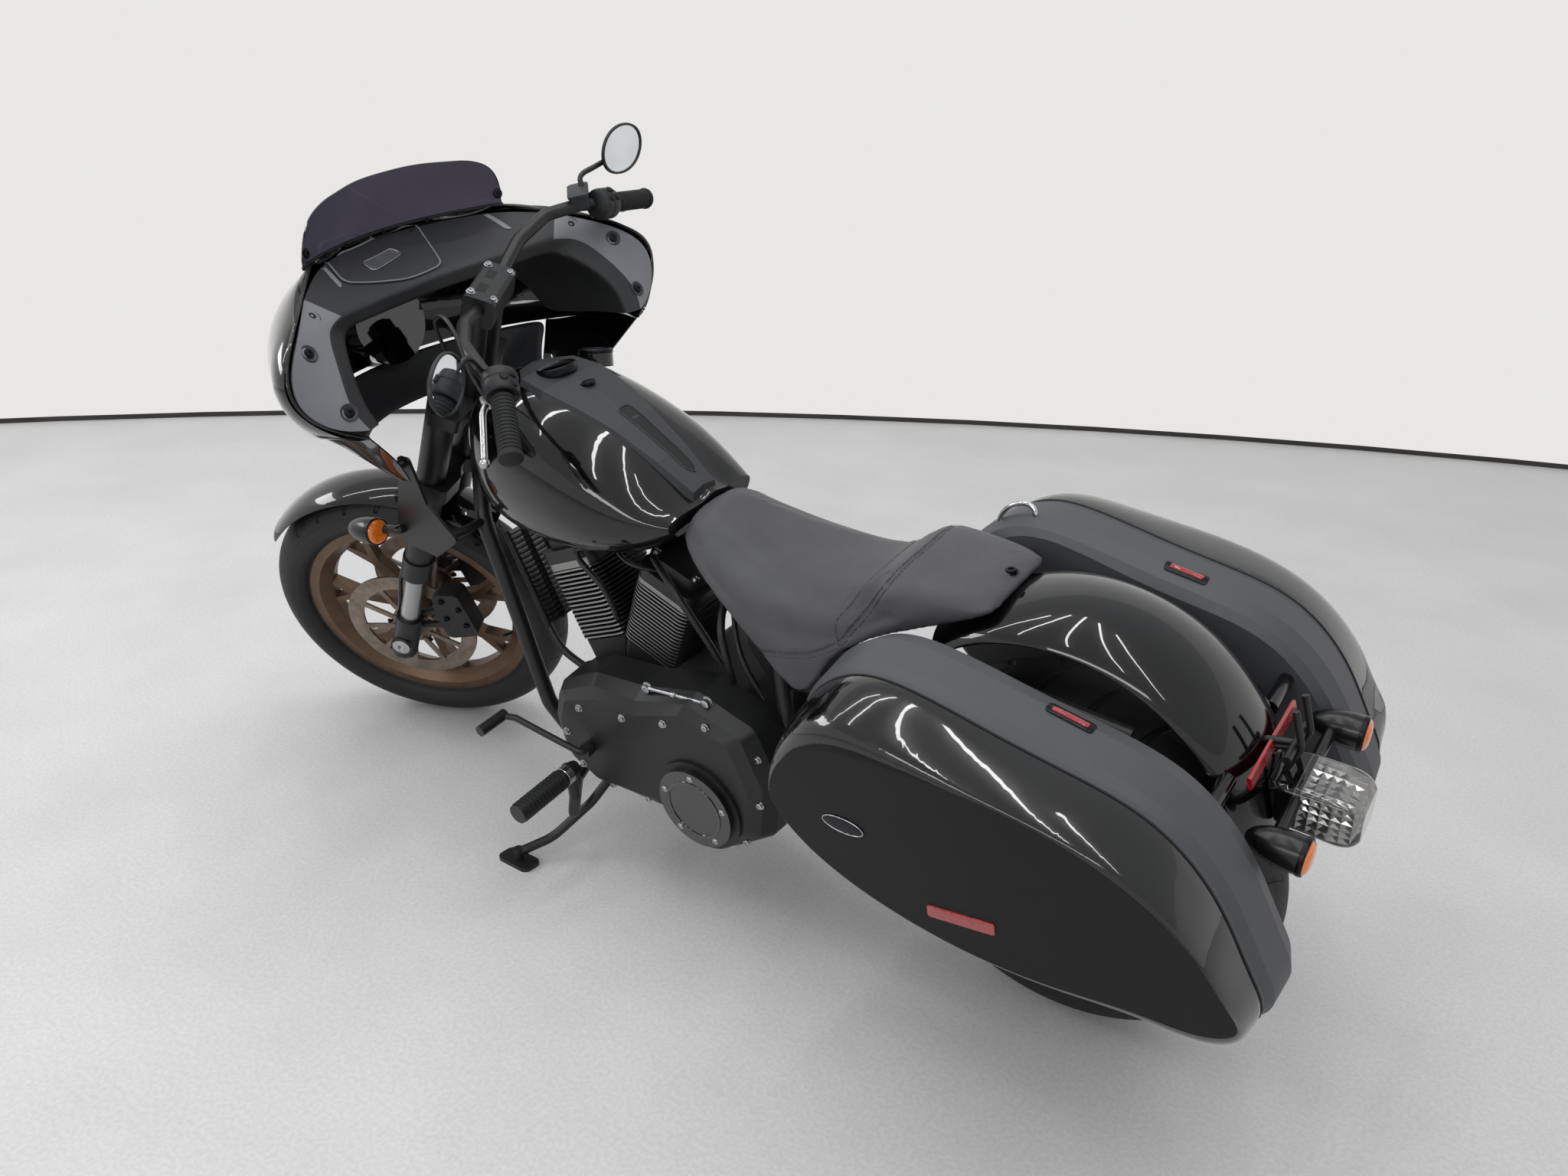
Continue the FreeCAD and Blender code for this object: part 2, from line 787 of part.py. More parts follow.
def exhausts():
    front = exhaust_pipe(
        [(1060, -40, 592), (1128, -58, 556), (1122, -140, 500), (1092, -196, 330), (1010, -214, 222),
         (880, -222, 222), (540, -222, 222)],
        (560, -222, 222), (-60, -222, 222), 22.0, 42.0)
    rear = exhaust_pipe(
        [(740, -40, 598), (690, -60, 575), (676, -140, 560), (668, -205, 470), (640, -222, 350),
         (570, -222, 312), (500, -222, 312)],
        (520, -222, 312), (-120, -222, 312), 22.0, 42.0)
    tall = fin_count * fin_pitch + head_height + rocker_height + 40
    hulls = [bore_plate(side, cylinder_base - 20, tall, fin_width + 2 * seat_gap, fin_depth + 8,
                        30.0) for side in (1, -1)]
    return group([front.cut(hulls[0]), rear.cut(hulls[1])])


def air_cleaner():
    duct = cylinder(V(crank_x, -65.7, 590), V(crank_x, -190, 590), 34.0)
    can = cylinder(V(crank_x - 70, -200, 590), V(crank_x + 90, -200, 590), 52.0)
    cap = cylinder(V(crank_x + 90, -200, 590), V(crank_x + 112, -200, 590), 40.0)
    return joined([duct, can, cap])


# Tank and seat


tank_stations = [
    (1205, 84, 925, 850, 790),
    (1165, 132, 968, 838, 738),
    (1080, 164, 985, 826, 706),
    (980, 176, 968, 820, 700),
    (880, 174, 926, 814, 706),
    (780, 152, 862, 806, 726),
    (740, 134, 828, 800, 744),
    (706, 116, 806, 792, 766),
]


def tank_section(x, w, top, crease, bottom):
    half = [
        (0.0, top), (0.42 * w, top - 4), (0.78 * w, top - 0.30 * (top - crease)),
        (w, crease), (0.92 * w, bottom + 0.34 * (crease - bottom)), (0.62 * w, bottom),
        (0.0, bottom + 2)]
    left = [V(x, y, z) for y, z in half]
    right = [V(x, -y, z) for y, z in reversed(half[1:-1])]
    return smooth_wire(left + right)


def fuel_tank():
    body = loft([tank_section(*s) for s in tank_stations])
    tunnel = box(600, 1260, -62, 62, 600, 740)
    above = backbone_tube * 1.35 + 4.0
    outline = [(600, 610), (1290, 610)]
    outline += [(x + 10, z + above) for x, y, z in backbone_points[:-1]]
    throat = side_plate(outline, -backbone_tube - seat_gap, backbone_tube + seat_gap, 0)
    return body.cut(tunnel.fuse(throat))


def tank_top(x):
    return top_height(x, [(s[0], s[2]) for s in tank_stations])


def top_height(x, table):
    table = sorted(table)
    for (x0, z0), (x1, z1) in zip(table, table[1:]):
        if x0 <= x <= x1:
            return z0 + (z1 - z0) * (x - x0) / (x1 - x0)
    return table[0][1] if x < table[0][0] else table[-1][1]


console_stations = [
    (1098, 40), (1060, 78), (1000, 88), (920, 76), (860, 62), (780, 48), (716, 34)]


def tank_console():
    wires = []
    for x, w in console_stations:
        z = tank_top(x)
        points = [V(x, -w, z - 12), V(x, -w * 0.85, z + 9), V(x, 0, z + 14),
                  V(x, w * 0.85, z + 9), V(x, w, z - 12)]
        wires.append(Part.makePolygon(points + [points[0]]))
    return loft(wires, True).cut(fuel_tank())


def fuel_cap():
    base = V(1060, -122, 950)
    return cylinder(base, base + V(4, -8, 30), 33.0).cut(fuel_tank().fuse(tank_console()))


seat_stations = [
    (704, 98, 808, 768),
    (662, 122, 797, 740),
    (592, 150, 768, 704),
    (530, 166, 750, 688),
    (478, 172, 746, 686),
    (438, 170, 770, 690),
    (396, 160, 795, 700),
    (335, 148, 806, 716),
    (270, 132, 811, 736),
    (195, 116, 814, 754),
    (136, 102, 811, 772),
    (106, 84, 800, 784),
]
seat_flap = [(644, 762), (578, 722), (524, 670), (484, 628), (434, 564), (406, 578), (388, 680),
             (386, 734)]
seat_flap_inner = 139.0
seat_flap_outer = 158.0


def seat_section(x, w, top, bottom):
    half = [(0.0, top), (0.6 * w, top - 6), (0.92 * w, top - 0.4 * (top - bottom)),
            (0.96 * w, bottom + 6), (0.5 * w, bottom), (0.0, bottom)]
    left = [V(x, y, z) for y, z in half]
    right = [V(x, -y, z) for y, z in reversed(half[1:-1])]
    return smooth_wire(left + right)


def seat():
    """Padded saddle with a flap down each side and a raised hump behind the rider."""
    flap = side_plate(seat_flap, seat_flap_inner, seat_flap_outer, 8.0)
    pad = loft([seat_section(*s) for s in seat_stations])
    rest = disc_about_y(fender_centre, fender_radius + seat_gap, -200, 200)
    return joined([pad] + both_sides(flap)).cut(rest)


# Rear body


fender_centre = V(15, 0, 475)
fender_radius = 325.0


fender_stud_front = 195.0
fender_stud_radius = 12.0


def rail_height(x):
    """Height of the seat rail's axis above the road, between its two straight ends."""
    (x0, z0), (x1, z1) = rail_ends
    return z0 + (z1 - z0) * (x - x0) / (x1 - x0)


def rear_fender():
    """Crowned guard over the rear wheel, with the studs that carry the saddlebags."""
    outer = []
    inner = []
    for k in range(9):
        a = math.radians(-80 + 20 * k)
        outer.append(fender_centre + V(fender_radius - 46 + 46 * math.cos(a), 112 * math.sin(a), 0))
        inner.append(fender_centre + V(fender_radius - 49.5 + 46 * math.cos(a),
                                       108.5 * math.sin(a), 0))
    top = Part.BSplineCurve()
    top.interpolate(Points=outer)
    under = Part.BSplineCurve()
    under.interpolate(Points=inner)
    edges = [top.toShape(), Part.makeLine(outer[-1], inner[-1]), under.toShape(),
             Part.makeLine(inner[0], outer[0])]
    face = Part.Face(Part.Wire(Part.__sortEdges__(edges)))
    face.rotate(fender_centre, Y_AXIS, -50.0)
    guard = face.revolve(fender_centre, Y_AXIS * -1, 122.0)
    front_height = rail_height(fender_stud_front) + rail_tube + fender_stud_radius + seat_gap
    studs = []
    for x, z, y in ((fender_stud_front, front_height, 101.0), (-245.0, 625.0, 94.0)):
        studs += both_sides(cylinder(V(x, y, z), V(x, bag_inner - seat_gap, z), fender_stud_radius))
    return joined([guard] + studs)


# Saddlebags


bag_seam_outline = [
    (331, 588), (306, 684), (248, 752), (204, 773), (108, 771), (-8, 744), (-98, 725),
    (-216, 688), (-266, 649), (-314, 584), (-354, 504), (-372, 446), (-352, 412), (-250, 392),
    (-110, 380), (20, 380), (150, 402), (262, 462), (318, 524)]
bag_face_outline = [
    (322, 578), (290, 652), (236, 698), (194, 712), (108, 720), (-8, 720), (-98, 708),
    (-206, 668), (-252, 638), (-306, 582), (-344, 520), (-362, 474), (-344, 452), (-246, 428),
    (-110, 404), (20, 400), (150, 426), (250, 474), (304, 528)]
bag_face_low = 360.0
bag_face_lean = 0.13
bag_face_foot = 395.0
bag_band_lift = 14.0
bag_lid_steps = 4


def bag_middle(outline):
    return (sum(p[0] for p in outline) / len(outline), sum(p[1] for p in outline) / len(outline))


def grown(outline, by):
    """The outline moved outward from its middle."""
    cx, cz = bag_middle(outline)
    moved = []
    for x, z in outline:
        reach = math.hypot(x - cx, z - cz)
        moved.append((x + (x - cx) / reach * by, z + (z - cz) / reach * by))
    return moved


def bag_ring(outline, low, slope=0.0, foot=0.0):
    """Closed smooth ring in a plane that leans outward with height."""
    return smooth_wire([V(x, low + slope * (z - foot), z) for x, z in outline])


def bag_knuckle(x0, x1, side):
    """Hinge barrel under the seam with its strap up to the wall on one side of it."""
    y = bag_seam + seat_gap / 2
    barrel = cylinder(V(x0, y, bag_hinge_z), V(x1, y, bag_hinge_z), bag_knuckle_radius)
    top = bag_hinge_z + bag_knuckle_radius + 4
    low = y + seat_gap / 2 if side > 0 else y - 12
    high = y + 12 if side > 0 else y - seat_gap / 2
    return barrel.fuse(box(x0, x1, low, high, bag_hinge_z, top))


def bag_pin(radius):
    y = bag_seam + seat_gap / 2
    return cylinder(V(bag_knuckles[0], y, bag_hinge_z), V(bag_knuckles[3], y, bag_hinge_z), radius)


def bag_barrel_room(x0, x1):
    """Space in the wall beside the other half's hinge barrel."""
    y = bag_seam + seat_gap / 2
    return cylinder(V(x0, y, bag_hinge_z), V(x1, y, bag_hinge_z), bag_knuckle_radius + seat_gap)


def bag_shell_rings(wall):
    inner = bag_inner + wall
    return [
        bag_ring(grown(bag_seam_outline, -12 - wall), inner),
        bag_ring(grown(bag_seam_outline, 4 - wall), inner + 10),
        bag_ring(grown(bag_seam_outline, bag_band_lift - wall), bag_inner + 40),
        bag_ring(grown(bag_seam_outline, bag_band_lift - 4 - wall), bag_seam - 26),
        bag_ring(grown(bag_seam_outline, 0 - wall), bag_seam - 12),
        bag_ring(grown(bag_seam_outline, 0 - wall), bag_seam),
    ]


def bag_shell():
    """Fixed inner half, open at the seam, with a raised band round its top."""
    outer = loft(bag_shell_rings(0.0), True)
    mouth = bag_ring(grown(bag_seam_outline, -bag_wall), bag_seam + 1)
    hollow = loft(bag_shell_rings(bag_wall)[:-1] + [mouth], True)
    ends = [bag_knuckle(bag_knuckles[0], bag_knuckles[1], -1),
            bag_knuckle(bag_knuckles[2], bag_knuckles[3], -1)]
    half = outer.cut(bag_barrel_room(bag_knuckles[1], bag_knuckles[2]))
    return joined([half] + ends + [bag_pin(bag_pin_radius)]).cut(hollow)


def bag_lid_rings(wall):
    """From the seam out over a rounded shoulder to the leaning outer face."""
    rings = []
    for k in range(bag_lid_steps + 1):
        t = k / bag_lid_steps
        out = math.sin(t * math.pi / 2)
        turn = 1 - math.cos(t * math.pi / 2)
        outline = [(a[0] + (b[0] - a[0]) * turn, a[1] + (b[1] - a[1]) * turn)
                   for a, b in zip(bag_seam_outline, bag_face_outline)]
        start = bag_seam + seat_gap
        low = start + (bag_face_low - wall - start) * out
        rings.append(bag_ring(grown(outline, -wall), low, bag_face_lean * out, bag_face_foot))
    return rings


def bag_lid():
    """Hinged outer half, open at the seam."""
    outer = loft(bag_lid_rings(0.0))
    mouth = bag_ring(grown(bag_seam_outline, -bag_wall), bag_seam - 1)
    hollow = loft([mouth] + bag_lid_rings(bag_wall)[1:])
    knuckle = bag_knuckle(bag_knuckles[1] + seat_gap, bag_knuckles[2] - seat_gap, 1)
    half = outer.cut(bag_barrel_room(bag_knuckles[0], bag_knuckles[1] + seat_gap))
    half = half.cut(bag_barrel_room(bag_knuckles[2] - seat_gap, bag_knuckles[3]))
    return joined([half, knuckle]).cut(hollow.fuse(bag_pin(bag_pin_radius + running_gap)))


# Fairing


def both_halves(left):
    """A row of points from the left edge to the middle, carried on to the right edge."""
    points = [V(*p) for p in left]
    right = [V(p.x, -p.y, p.z) for p in reversed(points) if p.y > 0.01]
    return points + right


def skin_face(rows):
    surface = Part.BSplineSurface()
    surface.interpolate(rows)
    return surface


def edge_curves(surface):
    u0, u1, v0, v1 = surface.bounds()
    return [surface.uIso(u0).toShape(), surface.uIso(u1).toShape(),
            surface.vIso(v0).toShape(), surface.vIso(v1).toShape()]


def sheet_solid(rows, inner_rows):
    """Moulded sheet: a smooth outer surface, a smooth inner one and a rim between them."""
    outer = skin_face(rows)
    inner = skin_face(inner_rows)
    faces = [outer.toShape(), inner.toShape()]
    for a, b in zip(edge_curves(outer), edge_curves(inner)):
        faces.append(Part.makeRuledSurface(a, b))
    shell = Part.Shell(faces)
    shell.sewShape()
    solid = Part.Solid(shell)
    if solid.Volume < 0:
        solid.reverse()
    return solid


def shrunk(row, wall, centre):
    """The row moved by the wall towards a point inside it."""
    moved = []
    for p in row:
        towards = V(centre.x - p.x, -p.y, 0)
        if towards.Length < 1e-6:
            towards = V(-1, 0, 0)
        towards.normalize()
        moved.append(p + towards * wall)
    return moved


fairing_levels = [
    [(1146, 343, 968), (1235, 368, 962), (1330, 345, 950), (1420, 285, 944), (1490, 205, 940),
     (1532, 110, 938), (1545, 0, 938)],
    [(1160, 408, 1003), (1240, 408, 1000), (1330, 372, 998), (1430, 314, 1000), (1515, 218, 1002),
     (1560, 112, 1003), (1574, 0, 1003)],
    [(1175, 445, 1058), (1250, 424, 1060), (1340, 374, 1062), (1432, 310, 1064),
     (1510, 214, 1066), (1556, 110, 1067), (1570, 0, 1067)],
    [(1186, 436, 1108), (1262, 406, 1118), (1345, 350, 1124), (1420, 286, 1130),
     (1480, 200, 1134), (1516, 104, 1136), (1528, 0, 1136)],
    [(1228, 374, 1156), (1290, 336, 1172), (1350, 290, 1180), (1398, 238, 1184),
     (1440, 168, 1188), (1466, 90, 1190), (1474, 0, 1190)],
    [(1358, 234, 1202), (1376, 222, 1203), (1392, 202, 1204), (1410, 172, 1204),
     (1434, 120, 1205), (1450, 62, 1205), (1457, 0, 1205)],
]
fairing_heart = V(1290, 0, 1060)
lamp_axis = (V(1400, 0, 1030), V(1700, 0, 998))
lamp_radius = 82.0


def fairing_leg():
    """Side skirt of the shell that runs down and inward to the bracket."""
    levels = [
        [(1146, 343, 968), (1200, 360, 965), (1262, 366, 960), (1330, 345, 950), (1384, 310, 946)],
        [(1178, 296, 916), (1226, 312, 916), (1276, 312, 914), (1322, 296, 910), (1356, 268, 908)],
        [(1212, 252, 862), (1242, 262, 860), (1276, 262, 858), (1308, 248, 856), (1330, 226, 854)],
        [(1234, 228, 822), (1254, 231, 821), (1274, 229, 820), (1294, 222, 820), (1308, 212, 820)],
    ]
    rows = [[V(*p) - V(0, 0, seat_gap) for p in level] for level in levels]
    inner = [shrunk(row, panel, fairing_heart) for row in rows]
    return sheet_solid(rows, inner)


def fairing_shell():
    """Gloss outer shell, from the screen's foot down, with its two side skirts."""
    rows = [both_halves(level) for level in fairing_levels]
    inner = [shrunk(row, panel, fairing_heart) for row in rows]
    hole = cylinder(lamp_axis[0], lamp_axis[1], lamp_radius + seat_gap)
    return group([sheet_solid(rows, inner).cut(hole)] + both_sides(fairing_leg()))


screen_base = [(1369, 236), (1374, 233), (1384, 224), (1398, 205), (1424, 157), (1444, 100),
               (1455, 50), (1458, 0)]
screen_top = [(1367, 234, 1228), (1363, 228, 1254), (1360, 212, 1282), (1364, 180, 1302),
              (1379, 130, 1312), (1394, 84, 1317), (1402, 42, 1319), (1405, 0, 1319)]
screen_foot = 1205.5
screen_thickness = 3.5


def windshield():
    """Smoked screen, leaning back from the shell's top edge, with rounded upper corners."""
    foot = both_halves([(x, y, screen_foot) for x, y in screen_base])
    top = both_halves(screen_top)
    rows = []
    for t in (0.0, 0.35, 0.7, 1.0):
        rows.append([a + (b - a) * t + V(5.0, 0, 0) * math.sin(math.pi * t)
                     for a, b in zip(foot, top)])
    inner = [[p + V(-screen_thickness, 0, 0) for p in row] for row in rows]
    return sheet_solid(rows, inner)


liner_stations = [
    [(1150, 388, 996), (1134, 343, 986), (1147, 316, 984), (1250, 318, 978), (1356, 290, 968)],
    [(1166, 428, 1032), (1152, 357, 1022), (1163, 322, 1020), (1262, 320, 1014), (1372, 286, 1004)],
    [(1176, 438, 1070), (1178, 342, 1064), (1192, 309, 1058), (1284, 306, 1048), (1388, 272, 1034)],
    [(1188, 422, 1110), (1210, 324, 1102), (1226, 288, 1090), (1312, 282, 1074), (1400, 252, 1058)],
    [(1226, 366, 1150), (1244, 304, 1134), (1262, 262, 1114), (1336, 252, 1096), (1414, 226, 1076)],
    [(1292, 300, 1178), (1262, 258, 1140), (1272, 232, 1116), (1350, 222, 1100), (1430, 196, 1082)],
    [(1352, 230, 1196), (1282, 196, 1138), (1286, 180, 1113), (1366, 172, 1100), (1446, 154, 1086)],
    [(1396, 172, 1197), (1298, 124, 1136), (1300, 116, 1111), (1382, 110, 1100), (1462, 98, 1088)],
    [(1430, 92, 1198), (1308, 56, 1134), (1310, 54, 1109), (1392, 52, 1100), (1472, 48, 1090)],
    [(1444, 0, 1199), (1312, 0, 1134), (1314, 0, 1109), (1396, 0, 1100), (1476, 0, 1090)],
]


def fairing_inner():
    """Matte liner: wing panel, bevelled band and cavity wall, round from one side to the other."""
    left = [[V(*p) for p in station] for station in liner_stations]
    right = [[V(p.x, -p.y, p.z) for p in station] for station in reversed(left[:-1])]
    stations = left + right
    back = [[p + V(panel, 0, 0) for p in station] for station in stations]
    return folded_sheet(stations, back)


def folded_sheet(rows, back):
    """Sheet of flat facets between two like grids of points."""
    faces = []
    count = len(rows)
    across = len(rows[0])

    def flat(a, b, c):
        faces.append(Part.Face(Part.makePolygon([a, b, c, a])))

    for i in range(count - 1):
        for j in range(across - 1):
            for grid in (rows, back):
                flat(grid[i][j], grid[i + 1][j], grid[i + 1][j + 1])
                flat(grid[i][j], grid[i + 1][j + 1], grid[i][j + 1])
        for j in (0, across - 1):
            flat(rows[i][j], rows[i + 1][j], back[i + 1][j])
            flat(rows[i][j], back[i + 1][j], back[i][j])
    for i in (0, count - 1):
        for j in range(across - 1):
            flat(rows[i][j], rows[i][j + 1], back[i][j + 1])
            flat(rows[i][j], back[i][j + 1], back[i][j])
    shell = Part.Shell(faces)
    shell.sewShape()
    solid = Part.Solid(shell)
    if solid.Volume < 0:
        solid.reverse()
    return solid


mirror_heads = {1: V(1085, 395, 1180), -1: V(1005, -400, 1196)}


def oval_wire(centre, half_width, half_height):
    """Ellipse across the bike, its long side level."""
    shape = Part.Ellipse(V(0, 0, 0), half_width, half_height).toShape()
    shape.rotate(V(0, 0, 0), V(1, 1, 1), 120)
    shape.translate(centre)
    return Part.Wire(shape)


def mirrors():
    """Oval glass heads on slim stalks above the bar clamps."""
    pieces = []
    for side, head in mirror_heads.items():
        foot = V(1070, side * 299, 1134)
        stalk = tube([foot, foot + V(4, side * 20, 44), head + V(6, -side * 26, -20)], 5.5, 12.0)
        stalk = stalk.cut(handlebar().fuse(bar_controls()))
        rings = [oval_wire(head + V(x, 0, 0), w, h)
                 for x, w, h in ((-4, 61, 45), (0, 62, 46), (6, 54, 38), (11, 30, 21))]
        pieces.append(joined([stalk, loft(rings)]))
    return group(pieces)


def hand_levers():
    """Clutch and brake levers swept out ahead of the grips, each with a ball end."""
    pieces = []
    for side in (-1, 1):
        pivot = V(LEVER_PIVOT.x, side * LEVER_PIVOT.y, LEVER_PIVOT.z)
        tip = V(1050, side * 436, 1056)
        blade = tube([pivot, pivot + V(2, side * 26, -6), tip], 6.0, 40.0)
        ball = Part.makeSphere(9.0, tip)
        boss = cylinder(pivot - V(0, 0, 8.7), pivot + V(0, 0, 8), 11.0)
        pieces.append(joined([blade, ball, boss]))
    return group(pieces)


tail_bar_place = V(-276, 0, 636)
tail_bar_half = 102.0


def plate_bracket():
    """Two curved arms on the fender's tip that carry the reflector bar."""
    arms = []
    for y in (-34, 10):
        arms.append(tube([V(-300, y, 606), V(-316, y, 650), V(-300, y - 8, 700)], 5.0, 20.0))
    rail = cylinder(V(-306, -46, 648), V(-306, 46, 648), 6.0)
    foot = tube([V(-306, 0, 648), V(-262, 0, 640), V(-262, 0, 612)], 5.0, 10.0)
    tie = cylinder(V(-306, 0, 640), V(-281, 0, 633.5), 5.0)
    return joined(arms + [rail, foot, tie]).cut(group([rear_fender(), tail_light(), tail_bar()]))


def tail_bar():
    """Thin red reflector bar across the rear of the fender."""
    bar = box(-3, 3, -tail_bar_half, tail_bar_half, -9, 9)
    bar = bar.makeFillet(2.0, [e for e in bar.Edges if abs(e.tangentAt(e.FirstParameter).y) > 0.9])
    bar.rotate(ORIGIN, Y_AXIS, 15.0)
    bar.translate(tail_bar_place)
    return bar


bracket_inner = 196.0
bracket_outer = 202.0
bracket_boss_tip = 233.4


def fairing_bracket():
    """Plate below the shell's side skirt, its arm to the frame and its boss into the skirt."""
    outline = [(1262, 850), (1292, 850), (1317, 774), (1345, 700), (1345, 655), (1246, 645),
               (1171, 697), (1240, 760)]
    plate = side_plate(outline, bracket_inner, bracket_outer, 8.0)
    arm = tube([V(1205, 108, 690), V(1205, 150, 690), V(1215, bracket_inner + 1, 690)], 9.0, 20.0)
    boss = cylinder(V(1277, bracket_inner + 1, 838), V(1277, bracket_boss_tip, 838), 7.0)
    return joined([plate, arm, boss]).cut(frame())


def fairing_brackets():
    return group(both_sides(fairing_bracket()))


def bullet(rear, front, radius):
    """Bullet-shaped lamp body turned about its axis: lens dome behind, rounded nose ahead."""
    length = (front - rear).Length
    profile = [(0.0, 0.0), (radius * 0.7, 2.0), (radius * 0.97, 7.0), (radius, 14.0),
               (radius * 0.97, length * 0.5), (radius * 0.7, length * 0.82), (0.0, length)]
    curve = Part.BSplineCurve()
    curve.interpolate(Points=[V(r, 0, t) for r, t in profile])
    base = Part.makeLine(V(0, 0, length), V(0, 0, 0))
    body = Part.Face(Part.Wire([curve.toShape(), base])).revolve(ORIGIN, Z_AXIS, 360)
    body.Placement = FreeCAD.Placement(rear, FreeCAD.Rotation(Z_AXIS, front - rear))
    return body


front_signal_rear = V(1358, 238, 690)
front_signal_front = V(1436, 244, 684)
rear_signal_rear = V(-376, 149, 586)
rear_signal_front = V(-290, 146, 590)
signal_radius = 27.0


def front_signals():
    start = bracket_outer + seat_gap
    stalk = tube([V(1330, start, 690), V(1330, start + 14, 690), V(1380, 230, 690)], 9.0, 10.0)
    pod = bullet(front_signal_rear, front_signal_front, signal_radius)
    return group(both_sides(joined([stalk, pod])))


def headlamp():
    """Round lamp in the nose of the shell with a domed lens."""
    along = lamp_axis[1] - lamp_axis[0]
    along.normalize()
    back = lamp_axis[0] + along * 96
    front = lamp_axis[0] + along * 176
    body = cylinder(back, front, lamp_radius)
    dome = Part.makeSphere(190.0, front - along * 170)
    reach = cylinder(front - along * 1, front + along * 30, lamp_radius)
    return joined([body, dome.common(reach)])


tail_rings = [
    (-284, 44, 548, 600), (-330, 52, 536, 606), (-372, 52, 532, 604), (-400, 48, 532, 598),
    (-412, 38, 540, 588)]


def tail_light():
    """Wedge-shaped lens on the fender's tip, rounded at its corners."""
    wires = []
    for x, half, low, high in tail_rings:
        wires.append(rounded_wire([V(x, -half, low), V(x, half, low), V(x, half, high),
                                   V(x, -half, high)], 12.0))
    return loft(wires).cut(disc_about_y(fender_centre, fender_radius + seat_gap, -200, 200))


def rear_signals():
    stalk = cylinder(V(-326, 44, 590), V(-326, 128, 590), 9.0)
    pod = bullet(rear_signal_rear, rear_signal_front, signal_radius)
    side = joined([stalk, pod]).cut(tail_light())
    return group(both_sides(side.cut(rear_fender())))


# Drive, battery and foot controls


sprocket_place = V(600, 0, 345)
sprocket_radius = 40.0
belt_thickness = 5.0
belt_clearance = 6.0
belt_width = 20.0


def belt_loop(extra, y0, y1):
    """Solid outline round both pulleys, grown by extra."""
    big = pulley_radius + extra
    small = sprocket_radius + extra
    line = sprocket_place - REAR_AXLE
    line.y = 0
    span = line.Length
    tilt = math.atan2(line.z, line.x)
    spread = math.acos((big - small) / span)
    points = []
    for sign in (1, -1):
        a = tilt + sign * spread
        points.append((V(math.cos(a), 0, math.sin(a)) * big + V(REAR_AXLE.x, y0, REAR_AXLE.z),
                       V(math.cos(a), 0, math.sin(a)) * small
                       + V(sprocket_place.x, y0, sprocket_place.z)))
    (big_top, small_top), (big_low, small_low) = points
    back = V(REAR_AXLE.x - math.cos(tilt) * big, y0, REAR_AXLE.z - math.sin(tilt) * big)
    front = V(sprocket_place.x + math.cos(tilt) * small, y0,
              sprocket_place.z + math.sin(tilt) * small)
    wire = Part.Wire([Part.makeLine(big_top, small_top), Part.Arc(small_top, front, small_low).toShape(),
                      Part.makeLine(small_low, big_low), Part.Arc(big_low, back, big_top).toShape()])
    return Part.Face(wire).extrude(V(0, y1 - y0, 0))


def drive_belt():
    y0 = pulley_offset - belt_width / 2
    y1 = y0 + belt_width
    outer = belt_loop(seat_gap + belt_thickness, y0, y1)
    return outer.cut(belt_loop(seat_gap, y0 - 1, y1 + 1))


def battery_box():
    """Tray, battery and relays under the seat, between the frame rails."""
    outline = [(452, 500), (446, 640), (520, 676), (596, 640), (604, 560), (560, 496)]
    block = side_plate(outline, -62, 62, 10.0)
    ears = [box(500, 548, y, y + 14, 560, 610) for y in (62, -76)]
    return joined([block] + ears).cut(group([frame(), swingarm(), seat(), engine_case()]))


def shift_lever():
    """Toe lever and its linkage along the primary cover."""
    arm = tube([V(905, 216, 316), V(905, 232, 318), V(960, 246, 342), V(1040, 262, 372),
                V(1066, 272, 374)], 6.5, 18.0)
    toe = cylinder(V(1066, 264, 374), V(1066, 330, 374), 11.0)
    shaft = cylinder(V(905, 96, 316), V(905, 222, 316), 8.0)
    hub = cylinder(V(905, 210, 316), V(905, 226, 316), 14.0)
    return joined([arm, toe, shaft, hub]).cut(group([engine_case(), primary_cover(), frame()]))


def brake_pedal():
    """Pedal on the right with a ribbed pad, and the rod's arm behind it."""
    start = -engine_right - seat_gap
    arm = tube([V(905, start, 268), V(905, -250, 268), V(985, -262, 292), V(1052, -262, 320)],
               8.0, 20.0)
    pad = box(1040, 1082, -300, -232, 322, 334)
    pad = pad.makeFillet(5.0, [e for e in pad.Edges if abs(e.tangentAt(e.FirstParameter).z) > 0.9])
    return joined([arm, pad]).cut(group([engine_case(), frame(), exhausts()]))


cable_radius = 3.5
clutch_cable_route = [
    (1069, 328, 1112), (1092, 310, 1140), (1104, 280, 1190), (1136, 240, 1214), (1190, 190, 1180),
    (1222, 140, 1100), (1240, 100, 1040), (1266, 72, 1004), (1288, 62, 944)]


def clutch_cable():
    """Cable in one loop from the clutch perch down to the upper clamp."""
    route = tube([V(*p) for p in clutch_cable_route], cable_radius, 34.0)
    return route.cut(group([handlebar(), triple_clamps(), switch_housing(), risers()]))


def foot_pegs():
    parts = []
    for side in (-1, 1):
        arm = tube([V(1030, side * 80, 186), V(1005, side * 172, 172), V(930, side * 260, 178),
                    V(905, side * 268, 240), V(903, side * 268, 300)], 11.0, 18.0)
        peg = cylinder(V(900, side * 274, 302), V(896, side * 412, 304), 19.0)
        clevis = cylinder(V(905, side * 256, 296), V(905, side * 276, 303), 17.0)
        parts.append(joined([arm, clevis, peg]).cut(frame()))
    return group(parts)


# Parking


def lowest_of(centre, axis, big, small):
    """Height of the lowest point of a torus-shaped crown."""
    return centre.z - big * math.sqrt(max(0.0, 1 - axis.z ** 2)) - small


